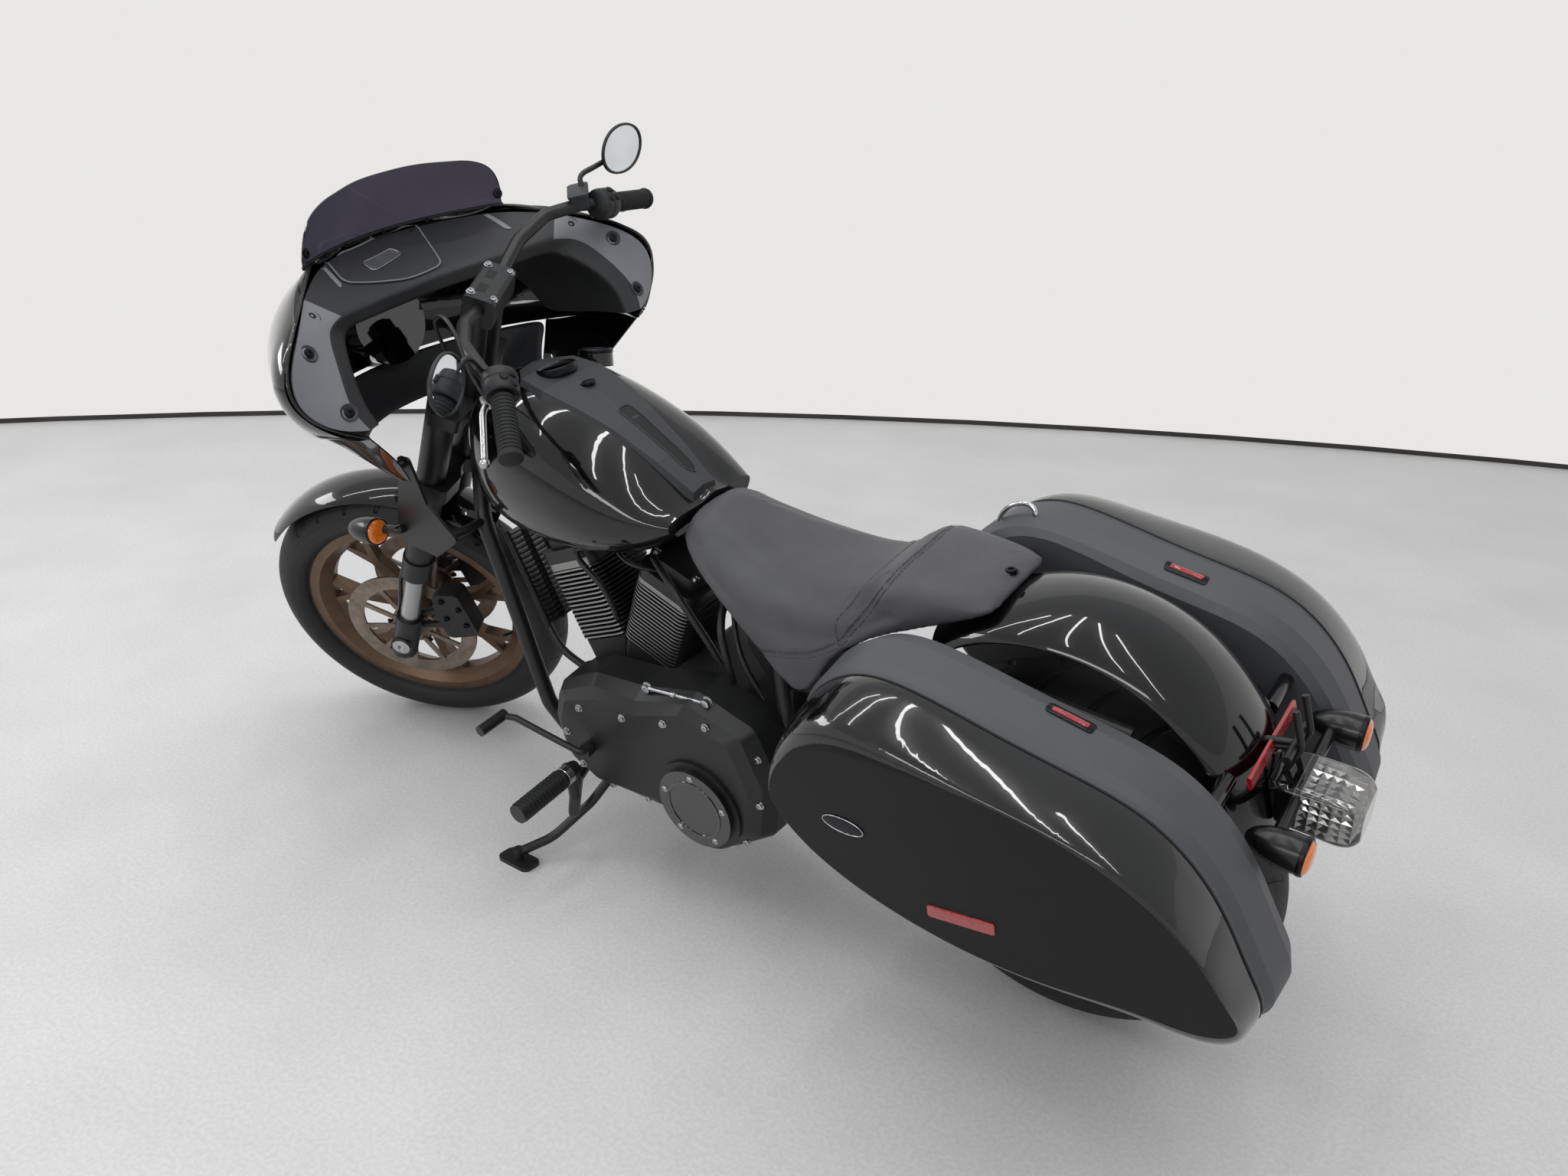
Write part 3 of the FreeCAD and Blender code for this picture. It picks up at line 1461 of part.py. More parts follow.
def steered(point, angle=steer_stop):
    turn = FreeCAD.Rotation(STEER_DIR, angle)
    return STEER_POINT + turn.multVec(point - STEER_POINT)


def parked_placement():
    """Lean, then the small pitch and lift that bring both tyres to the floor."""
    turn = FreeCAD.Rotation(STEER_DIR, steer_stop)
    front = steered(FRONT_AXLE)
    front_dir = turn.multVec(Y_AXIS)
    pitch = 0.0
    tilt = FreeCAD.Rotation(X_AXIS, -lean)
    for _ in range(20):
        spin = FreeCAD.Rotation(Y_AXIS, pitch).multiply(tilt)
        rear_low = lowest_of(spin.multVec(REAR_AXLE), spin.multVec(Y_AXIS),
                             rear_tyre_radius - rear_tyre_crown, rear_tyre_crown)
        front_low = lowest_of(spin.multVec(front), spin.multVec(front_dir),
                              front_tyre_radius - front_tyre_crown, front_tyre_crown)
        pitch += math.degrees((front_low - rear_low) / wheelbase)
    return FreeCAD.Placement(V(0, 0, -rear_low), spin)


PARKED = parked_placement()


def side_stand():
    """Curved leg with a flat foot that meets the floor as the machine leans on it."""
    foot = PARKED.multVec(STAND_FOOT)
    world_up = PARKED.inverse().Rotation.multVec(Z_AXIS)
    sole = PARKED.inverse().multVec(V(foot.x, foot.y, 0))
    half = STAND_AXIS * (stand_eye_height / 2)
    eye = cylinder(STAND_PIVOT - half, STAND_PIVOT + half, 18.0)
    ankle = sole + world_up * 22
    leg = tube([STAND_PIVOT + V(8, 13, -8), V(958, 188, 142), V(1000, 270, 92), ankle], 9.5, 90.0)
    pad = Part.makeBox(84, 44, stand_foot_thickness, V(foot.x - 42, foot.y - 22, 0))
    pad = pad.makeFillet(14.0, [e for e in pad.Edges if abs(e.tangentAt(e.FirstParameter).z) > 0.9])
    post = Part.makeCylinder(9.5, 30.0, V(foot.x, foot.y, 2.0), Z_AXIS)
    local = joined([pad, post])
    local.Placement = PARKED.inverse()
    whole = joined([eye, leg, local])
    pin = cylinder(STAND_PIVOT - half * 4, STAND_PIVOT + half * 4,
                   stand_pin_radius + running_gap)
    return whole.cut(pin)


# Assembly


STEERING = {
    "triple_clamps": triple_clamps,
    "fork_legs": fork_legs,
    "fork_sliders": fork_sliders,
    "front_axle": front_axle,
    "front_calipers": front_calipers,
    "front_fender": front_fender,
    "handlebar": handlebar,
    "handlebar_risers": risers,
    "grips": grips,
    "bar_controls": bar_controls,
    "hand_levers": hand_levers,
    "mirrors": mirrors,
    "clutch_cable": clutch_cable,
    "front_tyre": lambda: tyre(FRONT_AXLE, front_tyre_radius, front_tyre_width, front_tyre_crown,
                               front_bead_radius, front_rim_width, front_rim_lip),
    "front_wheel": front_wheel,
    "front_discs": front_discs,
}

BODY = {
    "frame": frame,
    "swingarm": swingarm,
    "rear_axle": rear_axle,
    "engine_case": engine_case,
    "cylinders": cylinders,
    "rocker_covers": rocker_covers,
    "primary_cover": primary_cover,
    "derby_cover": derby_cover,
    "exhausts": exhausts,
    "air_cleaner": air_cleaner,
    "fuel_tank": fuel_tank,
    "tank_console": tank_console,
    "fuel_cap": fuel_cap,
    "seat": seat,
    "rear_fender": rear_fender,
    "bag_shell_left": bag_shell,
    "bag_shell_right": lambda: mirrored(bag_shell()),
    "bag_lid_left": bag_lid,
    "bag_lid_right": lambda: mirrored(bag_lid()),
    "fairing_shell": fairing_shell,
    "fairing_inner": fairing_inner,
    "windshield": windshield,
    "fairing_brackets": fairing_brackets,
    "front_signals": front_signals,
    "headlamp": headlamp,
    "tail_light": tail_light,
    "rear_signals": rear_signals,
    "plate_bracket": plate_bracket,
    "tail_bar": tail_bar,
    "drive_belt": drive_belt,
    "battery_box": battery_box,
    "shift_lever": shift_lever,
    "brake_pedal": brake_pedal,
    "foot_pegs": foot_pegs,
    "side_stand": side_stand,
    "rear_tyre": lambda: tyre(REAR_AXLE, rear_tyre_radius, rear_tyre_width, rear_tyre_crown,
                              rear_bead_radius, rear_rim_width, rear_rim_lip),
    "rear_wheel": rear_wheel,
    "rear_disc_and_pulley": rear_rotor_and_pulley,
}


def build():
    os.makedirs("parts", exist_ok=True)
    turned = FreeCAD.Placement(STEER_POINT, FreeCAD.Rotation(STEER_DIR, steer_stop)).multiply(
        FreeCAD.Placement(STEER_POINT * -1, FreeCAD.Rotation()))
    shapes = {}
    for name, make in BODY.items():
        shapes[name] = make().transformed(PARKED.toMatrix(), True)
    matrix = PARKED.multiply(turned).toMatrix()
    for name, make in STEERING.items():
        shapes[name] = make().transformed(matrix, True)
    centre = V(-origin_ahead, -origin_left, 0)
    for name, shape in shapes.items():
        shape.translate(centre)
        shape.exportStep("parts/" + name + ".step")
    return shapes, centre


NODES, CENTRE = build()
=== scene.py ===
import math

import bmesh
import bpy
from mathutils import Matrix, Vector
from mathutils.bvhtree import BVHTree
from mathutils.kdtree import KDTree


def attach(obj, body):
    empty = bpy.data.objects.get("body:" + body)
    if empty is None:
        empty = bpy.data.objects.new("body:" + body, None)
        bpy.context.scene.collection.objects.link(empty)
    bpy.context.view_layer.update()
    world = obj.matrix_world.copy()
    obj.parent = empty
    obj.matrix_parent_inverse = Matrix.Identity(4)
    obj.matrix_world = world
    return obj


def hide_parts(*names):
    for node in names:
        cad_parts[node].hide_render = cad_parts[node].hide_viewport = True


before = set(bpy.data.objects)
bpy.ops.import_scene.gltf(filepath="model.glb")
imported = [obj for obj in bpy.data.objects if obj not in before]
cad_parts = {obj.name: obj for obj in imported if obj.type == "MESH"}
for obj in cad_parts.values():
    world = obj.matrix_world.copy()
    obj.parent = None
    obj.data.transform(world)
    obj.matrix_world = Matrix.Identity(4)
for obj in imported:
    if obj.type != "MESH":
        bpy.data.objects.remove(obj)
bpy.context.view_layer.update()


# Camera
# A 28 mm lens held at head height behind the left saddlebag, looking down the machine
# towards the front wheel.

camera_place = (-1.324, 1.5934, 1.4578)
camera_heading = -54.99
camera_down = 22.404
camera_tilt = 1.701
camera_data = bpy.data.cameras.new("camera")
camera_data.sensor_width = 36.0
camera_data.lens = 27.98
camera_data.clip_start = 0.05
camera = bpy.data.objects.new("camera", camera_data)
camera.matrix_world = (
    Matrix.Translation(camera_place)
    @ Matrix.Rotation(math.radians(camera_heading - 90), 4, "Z")
    @ Matrix.Rotation(math.radians(90 - camera_down), 4, "X")
    @ Matrix.Rotation(math.radians(camera_tilt), 4, "Z")
)
bpy.context.collection.objects.link(camera)
bpy.context.scene.camera = camera
bpy.context.scene.view_settings.view_transform = "Standard"


# Clutch cable
# A steel cable in a black moulded sleeve. It leaves the clutch perch on the left bar, loops up
# over the clamp and drops behind the upper yoke. Places on the machine are given in mm from the
# rear wheel's spot on the floor, upright and with the bars straight; parked leans them on the
# stand and steered also turns them to the left stop.

parked = (
    Matrix.Translation((-0.7577, -0.13516, 0.00175587))
    @ Matrix.Rotation(math.radians(0.417117), 4, "Y")
    @ Matrix.Rotation(math.radians(-10), 4, "X")
)
steering_head = Matrix.Translation((1.76, 0, 0))
steering_axis = Vector((-math.sin(math.radians(28)), 0, math.cos(math.radians(28))))
steered = (
    parked @ steering_head @ Matrix.Rotation(math.radians(28), 4, steering_axis)
    @ steering_head.inverted()
)


def linear(code):
    """A hex sRGB colour as linear RGBA."""
    values = [int(code[i:i + 2], 16) / 255 for i in (0, 2, 4)]
    values = [v / 12.92 if v <= 0.04045 else ((v + 0.055) / 1.055) ** 2.4 for v in values]
    return (*values, 1.0)


def material(name, colour, roughness, metallic=0.0):
    """A new material with its main shader set from typical values; returns it and the shader."""
    made = bpy.data.materials.new(name)
    made.use_nodes = True
    shader = made.node_tree.nodes["Principled BSDF"]
    shader.inputs["Base Color"].default_value = linear(colour)
    shader.inputs["Roughness"].default_value = roughness
    shader.inputs["Metallic"].default_value = metallic
    return made, shader


def add(made, kind, settings=None, **links):
    """Adds one node; settings are by socket name or number, or by property; links feed sockets."""
    node = made.node_tree.nodes.new(kind)
    for key, value in (settings or {}).items():
        if isinstance(key, int) or key in node.inputs:
            node.inputs[key].default_value = value
        else:
            setattr(node, key, value)
    for key, source in links.items():
        target = node.inputs[int(key[1:])] if key[1:].isdigit() else node.inputs[key]
        made.node_tree.links.new(source, target)
    return node


def wire(source, target):
    """Joins an output to an input of the same material."""
    source.id_data.links.new(source, target)


def mottle(made, shader, light, dark, size_mm, roughness=(0.0, 0.0), bump_mm=0.0, detail=6.0,
           holder="Object"):
    """Breaks up colour, gloss and relief with one noise of a real size."""
    place = add(made, "ShaderNodeTexCoord")
    grain = add(made, "ShaderNodeTexNoise", {"Scale": 1000.0 / size_mm, "Detail": detail,
                                             "Roughness": 0.55}, Vector=place.outputs[holder])
    tone = add(made, "ShaderNodeValToRGB", {}, Fac=grain.outputs["Fac"])
    tone.color_ramp.elements[0].color = linear(dark)
    tone.color_ramp.elements[0].position = 0.3
    tone.color_ramp.elements[1].color = linear(light)
    tone.color_ramp.elements[1].position = 0.7
    wire(tone.outputs["Color"], shader.inputs["Base Color"])
    if roughness[1]:
        gloss = add(made, "ShaderNodeMapRange", {"To Min": roughness[0], "To Max": roughness[1]},
                    Value=grain.outputs["Fac"])
        wire(gloss.outputs["Result"], shader.inputs["Roughness"])
    if bump_mm:
        relief = add(made, "ShaderNodeBump", {"Distance": bump_mm / 1000, "Strength": 1.0},
                     Height=grain.outputs["Fac"])
        wire(relief.outputs["Normal"], shader.inputs["Normal"])
    return grain


def line_object(name, points, radius, finish, body, holder=parked, kind="POLY", closed=False):
    """A round line of one radius through points on the machine, such as a bead, trim or cable."""
    data = bpy.data.curves.new(name, "CURVE")
    data.dimensions = "3D"
    data.bevel_depth = radius / 1000
    data.bevel_resolution = 3
    data.use_fill_caps = True
    spline = data.splines.new(kind)
    spline.points.add(len(points) - 1)
    for slot, point in zip(spline.points, points):
        slot.co = (*(holder @ (Vector(point) / 1000)), 1.0)
    if kind == "NURBS":
        spline.order_u = 3
        spline.use_endpoint_u = not closed
        spline.resolution_u = 10
    spline.use_cyclic_u = closed
    spline.use_smooth = True
    data.materials.append(finish)
    made = bpy.data.objects.new(name, data)
    bpy.context.collection.objects.link(made)
    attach(made, body)
    return made


# Sleeve: black PVC, a dull sheen with faint mould haze.
sleeve, shader = material("pvc_sleeve_black", "131415", 0.42)
mottle(sleeve, shader, "191a1b", "101112", 8.0, (0.36, 0.5), 0.01)

cable_route = [
    (1069, 328, 1112), (1092, 310, 1140), (1104, 280, 1190), (1136, 240, 1214),
    (1190, 190, 1180), (1222, 140, 1100), (1240, 100, 1040), (1266, 72, 1004), (1288, 62, 944)]
cable = line_object("clutch_cable_line", cable_route, 3.5, sleeve, "steering", steered, "NURBS")
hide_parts("clutch_cable")


# Studio
# Pale polished concrete with trowel haze, and a pale round wall whose foot has a thin band
# painted dark as the shade of a recessed gap. The wall is as bright as its own colour.

def mesh_object(name, shape, finish, body=None, holder=None, edge=32.0):
    """Turns a bmesh in mm on the machine, or in metres in the room, into a piece."""
    if holder is not None:
        shape.transform(holder @ Matrix.Scale(0.001, 4))
    bmesh.ops.recalc_face_normals(shape, faces=shape.faces)
    data = bpy.data.meshes.new(name)
    shape.to_mesh(data)
    shape.free()
    data.materials.append(finish)
    data.shade_smooth()
    data.set_sharp_from_angle(angle=math.radians(edge))
    made = bpy.data.objects.new(name, data)
    bpy.context.collection.objects.link(made)
    if body:
        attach(made, body)
    return made


concrete, shader = material("concrete_polished", "dad9da", 0.4)
mottle(concrete, shader, "dedddd", "d3d2d3", 420.0, (0.34, 0.5), 0.0, 12.0)
speck_place = add(concrete, "ShaderNodeTexCoord")
speck = add(concrete, "ShaderNodeTexNoise", {"Scale": 130.0, "Detail": 4.0},
            Vector=speck_place.outputs["Object"])
speck_tone = add(concrete, "ShaderNodeMapRange",
                 {"From Min": 0.35, "From Max": 0.65, "To Min": 0.93, "To Max": 1.04},
                 Value=speck.outputs["Fac"])
tint = add(concrete, "ShaderNodeMix", {"data_type": "RGBA", "blend_type": "MULTIPLY", 0: 1.0})
wire(shader.inputs["Base Color"].links[0].from_socket, tint.inputs[6])
wire(speck_tone.outputs["Result"], tint.inputs[7])
wire(tint.outputs[2], shader.inputs["Base Color"])

room_centre = Vector((-4.95, 6.77, 0.0))
room_radius = 12.0
shape = bmesh.new()
bmesh.ops.create_circle(shape, cap_ends=True, segments=96, radius=room_radius,
                        matrix=Matrix.Translation(room_centre))
floor = mesh_object("studio_floor", shape, concrete)

# Painted wall: emission only towards the camera and its mirrors, at strength 1.
paint, shader = material("wall_paint_pale", "e9e8e7", 0.9)
mottle(paint, shader, "ebeae9", "e6e5e4", 900.0)
seen = add(paint, "ShaderNodeLightPath")
glow = add(paint, "ShaderNodeEmission", {"Color": linear("e8e7e6"), "Strength": 1.0})
clear = add(paint, "ShaderNodeMath", {"operation": "MAXIMUM"}, _0=seen.outputs["Is Camera Ray"],
            _1=seen.outputs["Is Transmission Ray"])
either = add(paint, "ShaderNodeMath", {"operation": "MAXIMUM"}, _0=clear.outputs["Value"],
             _1=seen.outputs["Is Glossy Ray"])
mixed = add(paint, "ShaderNodeMixShader", {}, _0=either.outputs["Value"],
            _1=shader.outputs["BSDF"], _2=glow.outputs["Emission"])
surface_out = paint.node_tree.nodes["Material Output"]
wire(mixed.outputs["Shader"], surface_out.inputs["Surface"])


def round_wall(name, radius, low, high, finish):
    """An upright band round the room, facing in."""
    wall = bmesh.new()
    rows = []
    for z in (low, high):
        turns = [math.radians(360 * k / 128) for k in range(128)]
        rows.append([wall.verts.new(room_centre + Vector((radius * math.cos(a),
                                                          radius * math.sin(a), z)))
                     for a in turns])
    for k in range(128):
        wall.faces.new((rows[0][k], rows[1][k], rows[1][(k + 1) % 128], rows[0][(k + 1) % 128]))
    made = mesh_object(name, wall, finish, edge=60.0)


round_wall("studio_wall", room_radius - 0.01, 0.02, 4.6, paint)
# The wall's foot: a flat band painted dark as the shade of a gap where the wall meets the floor.
painted_gap_shade, shader = material("painted_shade_wall_foot", "3a3835", 0.9)
mottle(painted_gap_shade, shader, "403e3b", "34322f", 200.0)
round_wall("wall_foot_shade_band", room_radius - 0.02, 0.0, 0.022, painted_gap_shade)

world = bpy.data.worlds.new("studio_air")
world.use_nodes = True
world.node_tree.nodes["Background"].inputs["Color"].default_value = linear("eceef0")
world.node_tree.nodes["Background"].inputs["Strength"].default_value = 0.68
bpy.context.scene.world = world


def softbox(name, place, aim, width, height, power):
    """A soft rectangular lamp aimed at a point."""
    data = bpy.data.lights.new(name, "AREA")
    data.shape = "RECTANGLE"
    data.size = width
    data.size_y = height
    data.energy = power
    lamp = bpy.data.objects.new(name, data)
    lamp.location = place
    lamp.rotation_euler = (Vector(aim) - Vector(place)).to_track_quat("-Z", "Y").to_euler()
    bpy.context.collection.objects.link(lamp)
    return lamp


for place in (-2.2, -1.1, 0.0, 1.1, 2.2):
    softbox("ceiling_strip_%d" % (place * 10), (place, 0.6, 3.9), (place * 0.7, -0.3, 0.5),
            0.07, 4.0, 16)
softbox("window_side", (-0.8, 4.6, 2.6), (0.0, 0.0, 0.6), 4.0, 0.5, 44)
softbox("fill_front", (4.0, 1.8, 2.6), (0.4, 0.0, 0.7), 2.0, 0.8, 38)


# Tyres
# Vulcanised rubber on cast wheels: rounded crowns with curved rain grooves moulded across the
# tread, and smooth sidewalls with a rib at the rim.

def dress(finish, *names):
    """Gives solids that stay as they are their finish."""
    for name in names:
        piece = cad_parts[name]
        for slot in piece.material_slots:
            slot.material = finish
        if not piece.material_slots:
            piece.data.materials.append(finish)


def machine_axes(made, holder, origin=None, output="Object"):
    """Coordinates along the machine's own axes, in metres from a point given in mm."""
    place = add(made, "ShaderNodeTexCoord")
    spot = holder @ (Vector(origin) / 1000) if origin else Vector()
    axes = add(made, "ShaderNodeMapping", {"vector_type": "TEXTURE", "Location": spot,
                                           "Rotation": holder.to_euler()},
               Vector=place.outputs[output])
    return axes.outputs["Vector"]


def painted_over(made, shader, colour, where):
    """A second colour over the first, as far as a mask says."""
    layer = add(made, "ShaderNodeMix", {"data_type": "RGBA", 7: linear(colour)}, _0=where)
    wire(shader.inputs["Base Color"].links[0].from_socket, layer.inputs[6])
    wire(layer.outputs[2], shader.inputs["Base Color"])


def tyre_rubber(name, holder, axle, crown, half_width, grooves):
    """Rubber whose grooves follow one wheel: angle round the axle against width across it."""
    made, shader = material(name, "1a1a1b", 0.62)
    mottle(made, shader, "202021", "141415", 30.0, (0.52, 0.72))
    wheel = machine_axes(made, holder, axle)
    parts = add(made, "ShaderNodeSeparateXYZ", {}, Vector=wheel)
    turn = add(made, "ShaderNodeMath", {"operation": "ARCTAN2"}, _0=parts.outputs["Z"],
               _1=parts.outputs["X"])
    width = add(made, "ShaderNodeMath", {"operation": "ABSOLUTE"}, _0=parts.outputs["Y"])
    bent = add(made, "ShaderNodeMath", {"operation": "POWER", 1: 0.6}, _0=width.outputs["Value"])
    sweep = add(made, "ShaderNodeMath", {"operation": "MULTIPLY", 1: 14.0},
                _0=bent.outputs["Value"])
    count = add(made, "ShaderNodeMath", {"operation": "MULTIPLY", 1: float(grooves)},
                _0=turn.outputs["Value"])
    phase = add(made, "ShaderNodeMath", {"operation": "ADD"}, _0=count.outputs["Value"],
                _1=sweep.outputs["Value"])
    wave = add(made, "ShaderNodeMath", {"operation": "SINE"}, _0=phase.outputs["Value"])
    cut = add(made, "ShaderNodeMapRange", {"From Min": 0.9, "From Max": 0.97, "To Min": 0.0,
                                           "To Max": 1.0}, Value=wave.outputs["Value"])
    inside = add(made, "ShaderNodeMapRange", {"From Min": half_width * 0.00088,
                                              "From Max": half_width * 0.00094,
                                              "To Min": 1.0, "To Max": 0.0},
                 Value=width.outputs["Value"])
    middle = add(made, "ShaderNodeMapRange", {"From Min": 0.004, "From Max": 0.006, "To Min": 0.0,
                                              "To Max": 1.0}, Value=width.outputs["Value"])
    band = add(made, "ShaderNodeMath", {"operation": "MULTIPLY"}, _0=inside.outputs["Result"],
               _1=middle.outputs["Result"])
    radial = add(made, "ShaderNodeVectorMath", {"operation": "MULTIPLY", 1: (1, 0, 1)},
                 _0=wheel)
    reach = add(made, "ShaderNodeVectorMath", {"operation": "LENGTH"}, _0=radial.outputs["Vector"])
    tread = add(made, "ShaderNodeMapRange", {"From Min": (crown - 42) / 1000,
                                             "From Max": (crown - 38) / 1000},
                Value=reach.outputs["Value"])
    only = add(made, "ShaderNodeMath", {"operation": "MULTIPLY"}, _0=band.outputs["Value"],
               _1=tread.outputs["Result"])
    groove = add(made, "ShaderNodeMath", {"operation": "MULTIPLY"}, _0=cut.outputs["Result"],
                 _1=only.outputs["Value"])
    rib = add(made, "ShaderNodeMath", {"operation": "PINGPONG", 1: 0.009},
              _0=reach.outputs["Value"])
    edge = add(made, "ShaderNodeMapRange", {"From Min": 0.0004, "From Max": 0.0012, "To Min": 0.12,
                                            "To Max": 0.0}, Value=rib.outputs["Value"])
    total = add(made, "ShaderNodeMath", {"operation": "ADD"}, _0=groove.outputs["Value"],
                _1=edge.outputs["Result"])
    relief = add(made, "ShaderNodeBump", {"Distance": 0.004, "invert": True},
                 Height=total.outputs["Value"])
    wire(relief.outputs["Normal"], shader.inputs["Normal"])
    # The grooves' colour is painted near black as the shade inside them, on top of their relief.
    painted_over(made, shader, "050505", groove.outputs["Value"])
    return made


dress(tyre_rubber("tyre_rubber_front", steered, (1615, 0, 340), 340, 55, 26), "front_tyre")
dress(tyre_rubber("tyre_rubber_rear", parked, (0, 0, 329), 329, 90, 22), "rear_tyre")


# Wheels
# Cast aluminium, seven split spokes each, painted satin bronze, with a bent rubber-coated tyre
# valve in each rim.

# Bronze paint: warm brown with a satin sheen and fine metal flake haze.
bronze, shader = material("bronze_paint_satin", "6b5543", 0.4, 0.5)
mottle(bronze, shader, "715a47", "624d3b", 40.0, (0.36, 0.44), 0.01)
dress(bronze, "front_wheel", "rear_wheel")


def lathe(shape, profile, base, axis, steps=24):
    """Turns (radius, height) pairs about an axis that stands on base, all in mm."""
    axis = Vector(axis).normalized()
    side = axis.orthogonal().normalized()
    other = axis.cross(side)
    rings = []
    for radius, height in profile:
        ring = []
        for k in range(steps):
            a = 2 * math.pi * k / steps
            out = (side * math.cos(a) + other * math.sin(a)) * radius
            ring.append(shape.verts.new(Vector(base) + axis * height + out))
        rings.append(ring)
    for low, high in zip(rings, rings[1:]):
        for k in range(steps):
            shape.faces.new((low[k], low[(k + 1) % steps], high[(k + 1) % steps], high[k]))
    shape.faces.new(list(reversed(rings[0])))
    shape.faces.new(rings[-1])


def on_wheel(axle, radius, angle, y):
    """A point on a wheel at an angle above forward."""
    a = math.radians(angle)
    return (axle[0] + radius * math.cos(a), y, axle[2] + radius * math.sin(a))


for name, axle, reach, angle, y, holder, body in (
        ("front_valve", (1615, 0, 340), 226, 205, 8, steered, "front_wheel"),
        ("rear_valve", (0, 0, 329), 190, 60, 20, parked, "rear_wheel")):
    shape = bmesh.new()
    foot = on_wheel(axle, reach, angle, y)
    inward = Vector(axle) - Vector(foot)
    inward.y = 0
    inward.normalize()
    lathe(shape, [(7.0, -6), (6.6, 2), (4.6, 6), (3.6, 14)], foot, inward + Vector((0, 0.2, 0)), 14)
    neck = Vector(foot) + (inward + Vector((0, 0.2, 0))).normalized() * 13
    lathe(shape, [(3.6, -2), (3.6, 12), (4.4, 12.6), (4.4, 22), (3.0, 23)], neck,
          inward * 0.7 + Vector((0, 0.8, 0)), 14)
    mesh_object(name, shape, sleeve, body, holder)


# Brake discs and pulley
# Stainless rotors, drilled and swept by the pads: a straw-brown sheen with fine turned rings.

def turned_metal(name, colour, light, dark, holder, axle):
    """Metal with fine rings about one wheel's axle, 0.8 mm apart."""
    made, shader = material(name, colour, 0.34, 1.0)
    mottle(made, shader, light, dark, 26.0, (0.26, 0.46))
    radial = add(made, "ShaderNodeVectorMath", {"operation": "MULTIPLY", 1: (1, 0, 1)},
                 _0=machine_axes(made, holder, axle))
    reach = add(made, "ShaderNodeVectorMath", {"operation": "LENGTH"}, _0=radial.outputs["Vector"])
    rings = add(made, "ShaderNodeMath", {"operation": "MULTIPLY", 1: 7850.0},
                _0=reach.outputs["Value"])
    wave = add(made, "ShaderNodeMath", {"operation": "SINE"}, _0=rings.outputs["Value"])
    relief = add(made, "ShaderNodeBump", {"Distance": 0.00004}, Height=wave.outputs["Value"])
    wire(relief.outputs["Normal"], shader.inputs["Normal"])
    return made


dress(turned_metal("disc_steel_worn", "8f8275", "9c9084", "75685b", steered, (1615, 0, 340)),
      "front_discs")
dress(turned_metal("disc_steel_rear", "8f8275", "9c9084", "75685b", parked, (0, 0, 329)),
      "rear_disc_and_pulley")


def bolt(shape, place, axis, radius=5.0, height=5.0):
    """Socket-head bolt on a washer face, with its drive recess."""
    r = radius
    lathe(shape, [(r * 1.35, 0), (r * 1.35, 0.8), (r, 1.0), (r, height - 0.7),
                  (r * 0.86, height), (r * 0.52, height), (r * 0.5, height - 2.2)],
          place, axis, 18)


# Zinc: bright blue-white plated bolt heads.
zinc, shader = material("zinc_plate_bright", "c6c7c9", 0.24, 1.0)
mottle(zinc, shader, "cfd0d2", "a9aaad", 6.0, (0.18, 0.36))
black_zinc, shader = material("black_oxide_steel", "26262a", 0.3, 0.9)
mottle(black_zinc, shader, "2e2e32", "1d1d20", 6.0, (0.24, 0.4))

shape = bmesh.new()
for side in (-1, 1):
    for k in range(5):
        bolt(shape, on_wheel((1615, 0, 340), 52, 72 * k + 20, side * 77.6), (0, side, 0), 4.6, 4.5)
mesh_object("front_disc_bolts", shape, black_zinc, "front_wheel", steered)


# Fork, axles and calipers
# Upside-down fork: satin black outer tubes and cast lugs with bright hard-chromed sliders
# between. Two four-piston calipers in black painted aluminium with bolted bridges.

# Powder coat: satin black with a faint peel.
powder, shader = material("powder_coat_satin_black", "141517", 0.4)
mottle(powder, shader, "191a1c", "111214", 2.0, (0.34, 0.48), 0.02)
# Painted casting: duller, with the grain of sand-cast metal.
cast_black, shader = material("cast_aluminium_painted_black", "1a1b1d", 0.5)
mottle(cast_black, shader, "1f2022", "141517", 1.4, (0.42, 0.58), 0.06)
# Hard chrome: clear mirror with a slight haze.
chrome, shader = material("hard_chrome", "cfd0d1", 0.12, 1.0)
mottle(chrome, shader, "d2d3d4", "cacbcc", 40.0, (0.1, 0.14))
# Polished slider steel: soft bright bands along the tube.
slider_steel, shader = material("fork_slider_satin", "b4b4b4", 0.26, 1.0)
mottle(slider_steel, shader, "b6b6b6", "acacad", 60.0, (0.26, 0.3))
dress(powder, "fork_legs", "triple_clamps", "rear_axle")
dress(slider_steel, "fork_sliders")
dress(cast_black, "front_calipers")
dress(zinc, "front_axle")

shape = bmesh.new()
for side in (-1, 1):
    for x, z in ((-118, 96), (-112, 44), (-150, 70), (-152, 22)):
        bolt(shape, (1615 + x, side * 101, 340 + z), (0, side, 0), 6.0, 5.0)
mesh_object("caliper_bolts", shape, black_zinc, "steering", steered)
shape = bmesh.new()
for side in (-1, 1):
    lathe(shape, [(20, 0), (20, 5), (15, 7), (9, 7), (8.4, 2.5)], (1615, side * 141.5, 340),
          (0, side, 0), 24)
mesh_object("axle_nuts", shape, zinc, "steering", steered)


# Front fender
# A pressed steel guard in gloss black lacquer over the front tyre, on stays down to the axle lugs.

def clear_coat(shader, roughness):
    """A clear layer over a finish."""
    shader.inputs["Coat Weight"].default_value = 1.0
    shader.inputs["Coat Roughness"].default_value = roughness


# Lacquer: deep black under a clear coat that mirrors the lamps.
lacquer, shader = material("lacquer_gloss_black", "070708", 0.2)
shader.inputs["Specular IOR Level"].default_value = 0.1
clear_coat(shader, 0.025)
shader.inputs["Coat IOR"].default_value = 1.5
mottle(lacquer, shader, "09090b", "050506", 60.0, (0.16, 0.24))
dress(lacquer, "front_fender")


# Frame and swing arm
# Welded steel tube in satin black powder coat, with the peel of a sprayed powder.

dress(powder, "frame", "swingarm")


